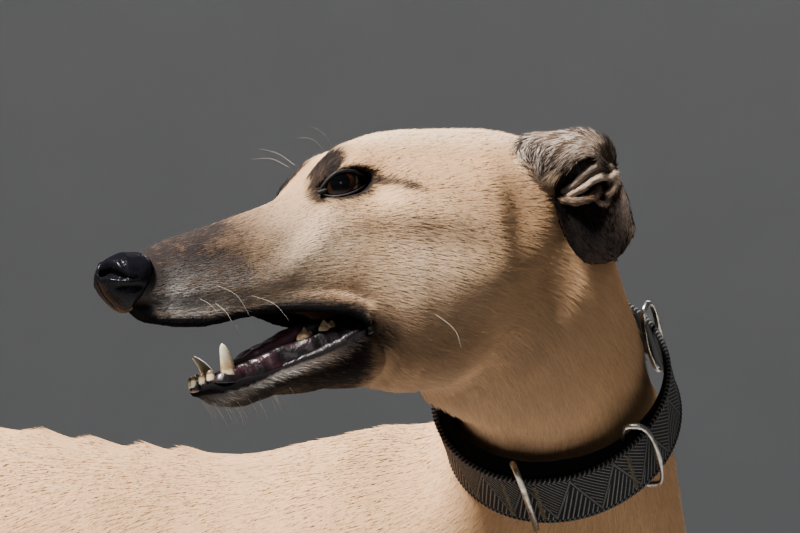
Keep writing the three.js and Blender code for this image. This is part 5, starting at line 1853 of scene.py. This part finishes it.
def body_unwrap(p):
    """A cylinder round the length of the body, opened along the belly."""
    x, y, z = p.T
    return normalised((x + 0.3 * (z - 560), -760, 260), (np.arctan2(np.abs(y) + 2, z - 545), 0, np.pi))


def neck_unwrap(p):
    t, aside, up, _ = neck_place(*p.T)
    return normalised((t, 0, 1), (np.arctan2(aside, up), -np.pi, np.pi))


def head_unwrap(p):
    s, v, w = head_place(*p.T)
    return normalised((s, 0, 262), (np.arctan2(np.abs(v) + 1, w - 18), 0, np.pi))


def leg_unwrap(p):
    """Each leg is opened behind, in its own quarter of the width."""
    x, y, z = p.T
    part = np.zeros(len(p))
    angle = np.zeros(len(p))
    for i, (leg, sign, step) in enumerate(STANCE.values()):
        low = np.clip(z, 0, leg["top"])
        middle = (leg["front"](low) + leg["rear"](low)) / 2 + step * (1 - low / leg["top"])
        aside = sign * (leg["outer"](low) + leg["inner"](low)) / 2
        near = (np.sign(y) == sign) & ((x > -200) == (i < 2))
        part = np.where(near, i, part)
        angle = np.where(near, np.arctan2(y - aside, x - middle), angle)
    turn = (angle + np.pi) / (2 * np.pi)
    return np.stack([np.clip(z / 470, 0, 1), (part + 0.02 + 0.96 * turn) / 4], axis=1)


HAIR_LOOK = coat_material("coat_hair", True)
root, normal = scatter(skin_places, skin_quads, skin_normals, coat_density)
keep = ~bare_places(root)
root, normal = root[keep], normal[keep]
s, v, w = head_place(*root.T)
is_head = (np.abs(v) < 85) & (s < 262) & (w > -62)
is_neck = ~is_head & (root[:, 2] > 560) & (neck_along(root) > 0.1) & (neck_gap(*root.T) < torso_gap(*root.T))
is_leg = ~is_head & ~is_neck & (root[:, 2] < 470) & (torso_gap(*root.T) > 4) & (tail_gap(*root.T) > 6)
is_body = ~is_head & ~is_neck & ~is_leg
flow = lie_of_hair(root)
length, width, lift = coat_form(root)
masks = markings(root)
jitter = rng.normal(0, 1, len(root))
masks["dark"] = np.clip(masks["dark"] * (1.04 + 0.1 * jitter), 0, 1)
masks["grey"] = np.clip(masks["grey"] * (1 + 0.9 * jitter), 0, 1)
COAT_PIECES = {
    "coat_head_left": (is_head & (v < 0), head_unwrap),
    "coat_head_right": (is_head & (v >= 0), head_unwrap),
    "coat_neck": (is_neck, neck_unwrap),
    "coat_body_left": (is_body & (root[:, 1] >= 0), body_unwrap),
    "coat_body_right": (is_body & (root[:, 1] < 0), body_unwrap),
    "coat_legs": (is_leg, leg_unwrap),
}
PIECE_LIMIT = 49000  # tufts in one mesh
for name, (chosen, unwrap) in COAT_PIECES.items():
    chosen = np.flatnonzero(chosen)
    share = unwrap(root[chosen])
    parts = math.ceil(len(chosen) / PIECE_LIMIT)
    order = np.argsort(share[:, 0])
    for i, part in enumerate(np.array_split(order, parts)):
        at = chosen[part]
        patch = share[part]
        low, high = patch[:, 0].min(), patch[:, 0].max()
        patch = np.stack([(patch[:, 0] - low) / max(high - low, 1e-6), patch[:, 1]], axis=1)
        label = name if parts == 1 else f"{name}_{i + 1}"
        chosen_masks = {key: values[at] for key, values in masks.items()}
        add_tufts(label, root[at], normal[at], flow[at], length[at], width[at], lift[at],
                  chosen_masks, patch, HAIR_LOOK)


# Hair of the ears
def head_vectors(vectors, sign):
    return (vectors * (1, sign, 1)) @ HEAD_TURN.T


def sheet_roots(sheet, count, reach, angles):
    """Random roots on an ear's sheet: their places along and around it, the point, the way out and along."""
    t = rng.uniform(*reach, count)
    angle = np.radians(rng.uniform(*angles, count))
    root = sheet_at(sheet, t, angle)
    out = unit(sheet_at(sheet, t, angle, 0.5) - root)
    before, after = np.maximum(t - 0.01, 0), np.minimum(t + 0.01, 1)
    along = unit(sheet_at(sheet, after, angle) - sheet_at(sheet, before, angle))
    return t, angle, root, out, along


def rod_roots(points, radius, count):
    """Random roots on the outer half of a ridge of the ear."""
    path = Path(list(points))
    t = rng.uniform(0.02, 0.98, count)
    turn = np.radians(rng.uniform(-60, 150, count))
    along = unit(path.tangent(t))
    side = unit(np.array([0, 1.0, 0]) - along * along[:, 1:2])
    rise = np.cross(along, side)
    rise *= np.sign(rise[:, 2:3])
    out = side * np.cos(turn)[:, None] + rise * np.sin(turn)[:, None]
    return t, turn, path.point(t) + out * radius, out, along


DOWN = np.array([-0.35, 0.0, -1.0])
MASK_NAMES = ("dark", "pale", "grey", "pink", "black", "bare")


def hood_hair(count):
    """Streaks of dark and grey hair over the hood, fawn where it leaves the skull."""
    t, angle, root, out, along = sheet_roots(EAR_HOOD, count, (0.01, 0.97), (4, 176))
    flow = along * np.interp(t, (0, 0.22, 0.42, 0.75, 1), (0.9, 0.3, -0.7, -0.9, 0.6))[:, None]
    flow = flow + DOWN * np.interp(t, (0, 0.3, 0.45, 1), (0.45, 0.9, 0.25, 0.1))[:, None]
    clump = 0.34 + 0.32 * np.sin(52 * t + 7 * np.sin(2.2 * angle) + 3 * np.sin(19 * t))
    light = (rng.random(count) < clump * smooth(1.25, 0.6, t)).astype(float)
    fawn = smooth(0.17, 0.03, t)
    masks = {"dark": (0.95 - 0.42 * light) * (1 - fawn), "grey": 0.5 * light * (1 - fawn), "pale": 0.5 * fawn}
    return t, angle, root, out, flow, masks


def fringe_hair(count):
    """A golden fringe that hangs from the hood's lower edge."""
    t, angle, root, out, _ = sheet_roots(EAR_HOOD, count, (0.12, 0.42), (1, 30))
    flow = np.broadcast_to(DOWN + (-0.5, 0.1, 0), root.shape)
    gold = rng.random(count)
    return t, angle, root, out, flow, {"dark": 0.75 * (gold < 0.18), "pale": 0.9 * (gold > 0.4)}


def flap_hair(count):
    """Short dark hair on the flap, blackened by painted shade under the hood's fold, greyer at its rear edge
    and in its hollow.
    """
    t, angle, root, out, along = sheet_roots(EAR_FLAP, count, (0.01, 0.99), (0, 360))
    rear, hollow = flap_zones(t, angle)
    grey = (0.06 * rear + 0.5 * hollow) * rng.random(count)
    masks = {"dark": np.full(count, 0.97), "grey": grey, "black": 0.7 * (1 - rear) * (1 - hollow)}
    return t, angle, root, out, along, masks


def ridge_hair(count):
    """Fine hair on the ridges of the hollow, in each ridge's colour, the roll's painted shade among them."""
    share = count // len(EAR_RIDGES)
    rows = [rod_roots(points, 0.8 * thick, share) for thick, _, points in EAR_RIDGES]
    t, angle, root, out, along = (np.concatenate(part) for part in zip(*rows))
    flow = along + (0, 0, -0.15)
    tone = rng.uniform(0.5, 1.4, count)
    masks = {key: tone * np.repeat([ridge[1][key] for ridge in EAR_RIDGES], share)
             for key in ("dark", "grey", "pale")}
    return t, angle, root, out, flow, masks


# Kinds of hair on an ear: tufts, then their length, width and lift in degrees
EAR_HAIR = (
    (hood_hair, 9000, 7.4, 0.5, 9),
    (fringe_hair, 1100, 9.0, 0.5, 8),
    (flap_hair, 5200, 3.2, 0.5, 8),
    (ridge_hair, 4500, 4.2, 0.34, 10),
)


def ear_hair(sign):
    """All hair of one ear, ready for add_tufts, with a band of the bake map for every kind."""
    rows = []
    for i, (kind, count, length, width, lift) in enumerate(EAR_HAIR):
        t, angle, root, out, flow, some = kind(count)
        size = rng.uniform(0.7, 1.3, (3, count))
        masks = np.array([some.get(name, np.zeros(count)) for name in MASK_NAMES], float).T
        patch = np.stack([t, (angle % (2 * np.pi)) / (2 * np.pi) + i], axis=1) / (1, len(EAR_HAIR))
        rows.append((root, out, flow, length * size[0], width * size[1], np.radians(lift) * size[2],
                     masks, patch))
    root, out, flow, length, width, lift, masks, patch = (np.concatenate(part) for part in zip(*rows))
    places = from_head(root * (1, sign, 1))
    return (places, head_vectors(out, sign), head_vectors(flow, sign), length, width, lift,
            dict(zip(MASK_NAMES, masks.T)), patch)


for label, sign in (("coat_ear_left", -1), ("coat_ear_right", 1)):
    add_tufts(label, *ear_hair(sign), HAIR_LOOK)

# Claws: blunt dark cones that curve down from every toe
CLAW = {"start": 6.5, "length": 15, "radius": 2.7, "drop": 9}


def claw(centre, turned):
    def place(t, angle):
        radius = CLAW["radius"] * (1 - t**1.6) ** 0.75 * np.minimum(1, 0.5 + 4 * t)
        ahead = TOE["length"] / 2 - CLAW["start"] + CLAW["length"] * t
        across = 0.8 * radius * np.cos(angle)
        rise = -1 - CLAW["drop"] * t * t + radius * np.sin(angle)
        x = centre[0] + ahead * math.cos(turned) - across * math.sin(turned)
        y = centre[1] + ahead * math.sin(turned) + across * math.cos(turned)
        return stack(x, y, np.maximum(centre[2] + rise, 0.4))

    return tube(20, 18, place)


def horn_material():
    made = Nodes("claw_horn", roughness=0.35, specular_ior_level=0.45)
    made.bump(made.noise(600.0, stretch=(1, 5, 5)), 0.0003, 0.6)
    return made.finish(made.mix(made.noise(180.0), (0.012, 0.010, 0.009), (0.045, 0.034, 0.026)))


claws = Pile()
for stance in STANCE.values():
    for toe in toe_places(*stance):
        claws.add(claw(*toe))
claws.make("claws", slot="nose_leather", material=horn_material())

# Whiskers of the muzzle, over the eyes and on the cheek: root, bend and tip in the head's frame
WHISKERS = (
    ((53, 19.5, 16), (62, 25, 10), (67, 29, -1)),
    ((71, 22.5, 10), (80, 29, 5), (86, 33, -4)),
    ((53, 19, 7), (57, 23, 2), (59, 26, -4)),
    ((44, 18, 10), (49, 22, 6), (52, 25, 1)),
    ((113, 24, 82), (105, 28, 87), (95, 31, 87)),
    ((117, 25, 83), (110, 30, 90), (101, 33, 93)),
    ((156, 50, -3), (163, 57, -12), (164, 61, -22)),
)
CHIN_HAIRS = 24  # on either side


def fine_hair(points, radius):
    return rod(Path(points), lambda t: radius * (1 - 0.8 * t) * soft_ends(t, 10), 6, 14)


def chin_hair(sign):
    """The points of a random hair under the chin."""
    s = rng.uniform(52, 92)
    v = sign * rng.uniform(-0.2, 0.75) * float(JAW["half_width"](s))
    w = float(JAW["bottom"](s)) + 1.5 + 0.06 * v * v / 4
    reach = rng.uniform(5, 13)
    lean = rng.uniform(-0.5, 0.5)
    bend = (s + 0.3 * reach + lean, v * 1.08, w - 0.5 * reach)
    return (s, v, w), bend, (s + 0.5 * reach + 3 * lean, v * 1.15, w - reach)


def whisker_material():
    made = Nodes("whisker", roughness=0.4, specular_ior_level=0.4)
    return made.finish(made.mix(made.noise(40.0), (0.42, 0.35, 0.27), (0.66, 0.60, 0.50)))


whiskers = Pile()
for sign in SIDES:
    for points in WHISKERS:
        whiskers.add(fine_hair(mirrored(points, sign), 0.09), from_head)
    for _ in range(CHIN_HAIRS):
        whiskers.add(fine_hair(chin_hair(sign), 0.07), from_head)
whiskers.make("whiskers", slot="coat", material=whisker_material())

# Camera at the photograph's place, and a plain stage
CAMERA = {"lens": 135, "sensor": 36, "place": (0, -1667, 786), "tilt": 90}
camera = bpy.data.objects.new("camera", bpy.data.cameras.new("camera"))
bpy.context.scene.collection.objects.link(camera)
camera.data.lens = CAMERA["lens"]
camera.data.sensor_width = CAMERA["sensor"]
camera.location = (np.array(CAMERA["place"]) + SHIFT) * MM
camera.rotation_euler = (math.radians(CAMERA["tilt"]), 0, 0)
bpy.context.scene.camera = camera


def area_light(name, place, target, size, power, colour=(1, 1, 1), spread=180):
    light = bpy.data.lights.new(name, "AREA")
    light.energy, light.size, light.color = power, size, colour
    light.spread = math.radians(spread)
    lamp = bpy.data.objects.new(name, light)
    lamp.location = place
    lamp.rotation_euler = (Vector(target) - Vector(place)).to_track_quat("-Z", "Y").to_euler()
    bpy.context.scene.collection.objects.link(lamp)


HEAD_SPOT = (0.1, -0.06, 0.78)
area_light("key", (-1.1, -1.05, 3.15), HEAD_SPOT, 0.6, 52, (1, 0.96, 0.9), 64)
area_light("fill", (0.7, -3.0, 1.5), HEAD_SPOT, 0.7, 3.5, (0.94, 0.97, 1))
area_light("rim", (0.8, 2.2, 2.3), HEAD_SPOT, 1.2, 35, (1, 0.98, 0.95))
world = bpy.data.worlds.new("studio")
world.use_nodes = True
world.node_tree.nodes["Background"].inputs["Color"].default_value = (0.85, 0.88, 0.92, 1)
world.node_tree.nodes["Background"].inputs["Strength"].default_value = 0.075
bpy.context.scene.world = world


def backdrop():
    """A round floor that sweeps up into a low wall far from the dog on every side."""
    flat, sweep, height, around = 6.5, 1.6, 4.2, 96
    line = [(flat * share, 0.0) for share in (0.15, 0.4, 0.7)]
    line += [(flat + sweep * math.sin(a), sweep * (1 - math.cos(a))) for a in np.linspace(0, math.pi / 2, 24)]
    line += [(flat + sweep, height)]
    turns = np.arange(around) * 2 * math.pi / around
    points = [(r * math.cos(a), r * math.sin(a), z) for r, z in line for a in turns]
    steps = [(i * around, j, (j + 1) % around) for i in range(len(line) - 1) for j in range(around)]
    faces = [(low + a, low + b, low + around + b, low + around + a) for low, a, b in steps]
    mesh = bpy.data.meshes.new("floor")
    mesh.from_pydata(points, [], [tuple(range(around))[::-1]] + faces)
    mesh.shade_smooth()
    floor = bpy.data.objects.new("floor", mesh)
    bpy.context.scene.collection.objects.link(floor)
    made = Nodes("studio_paper", emission_color=(0.9, 0.92, 0.95, 1), emission_strength=0.05)
    tone = made.ramp(made.noise(3.0), 0.3, 0.7, 0.0, 1.0)
    mesh.materials.append(made.finish(made.mix(tone, (0.62, 0.61, 0.60), (0.66, 0.65, 0.64)), 0.85))


backdrop()
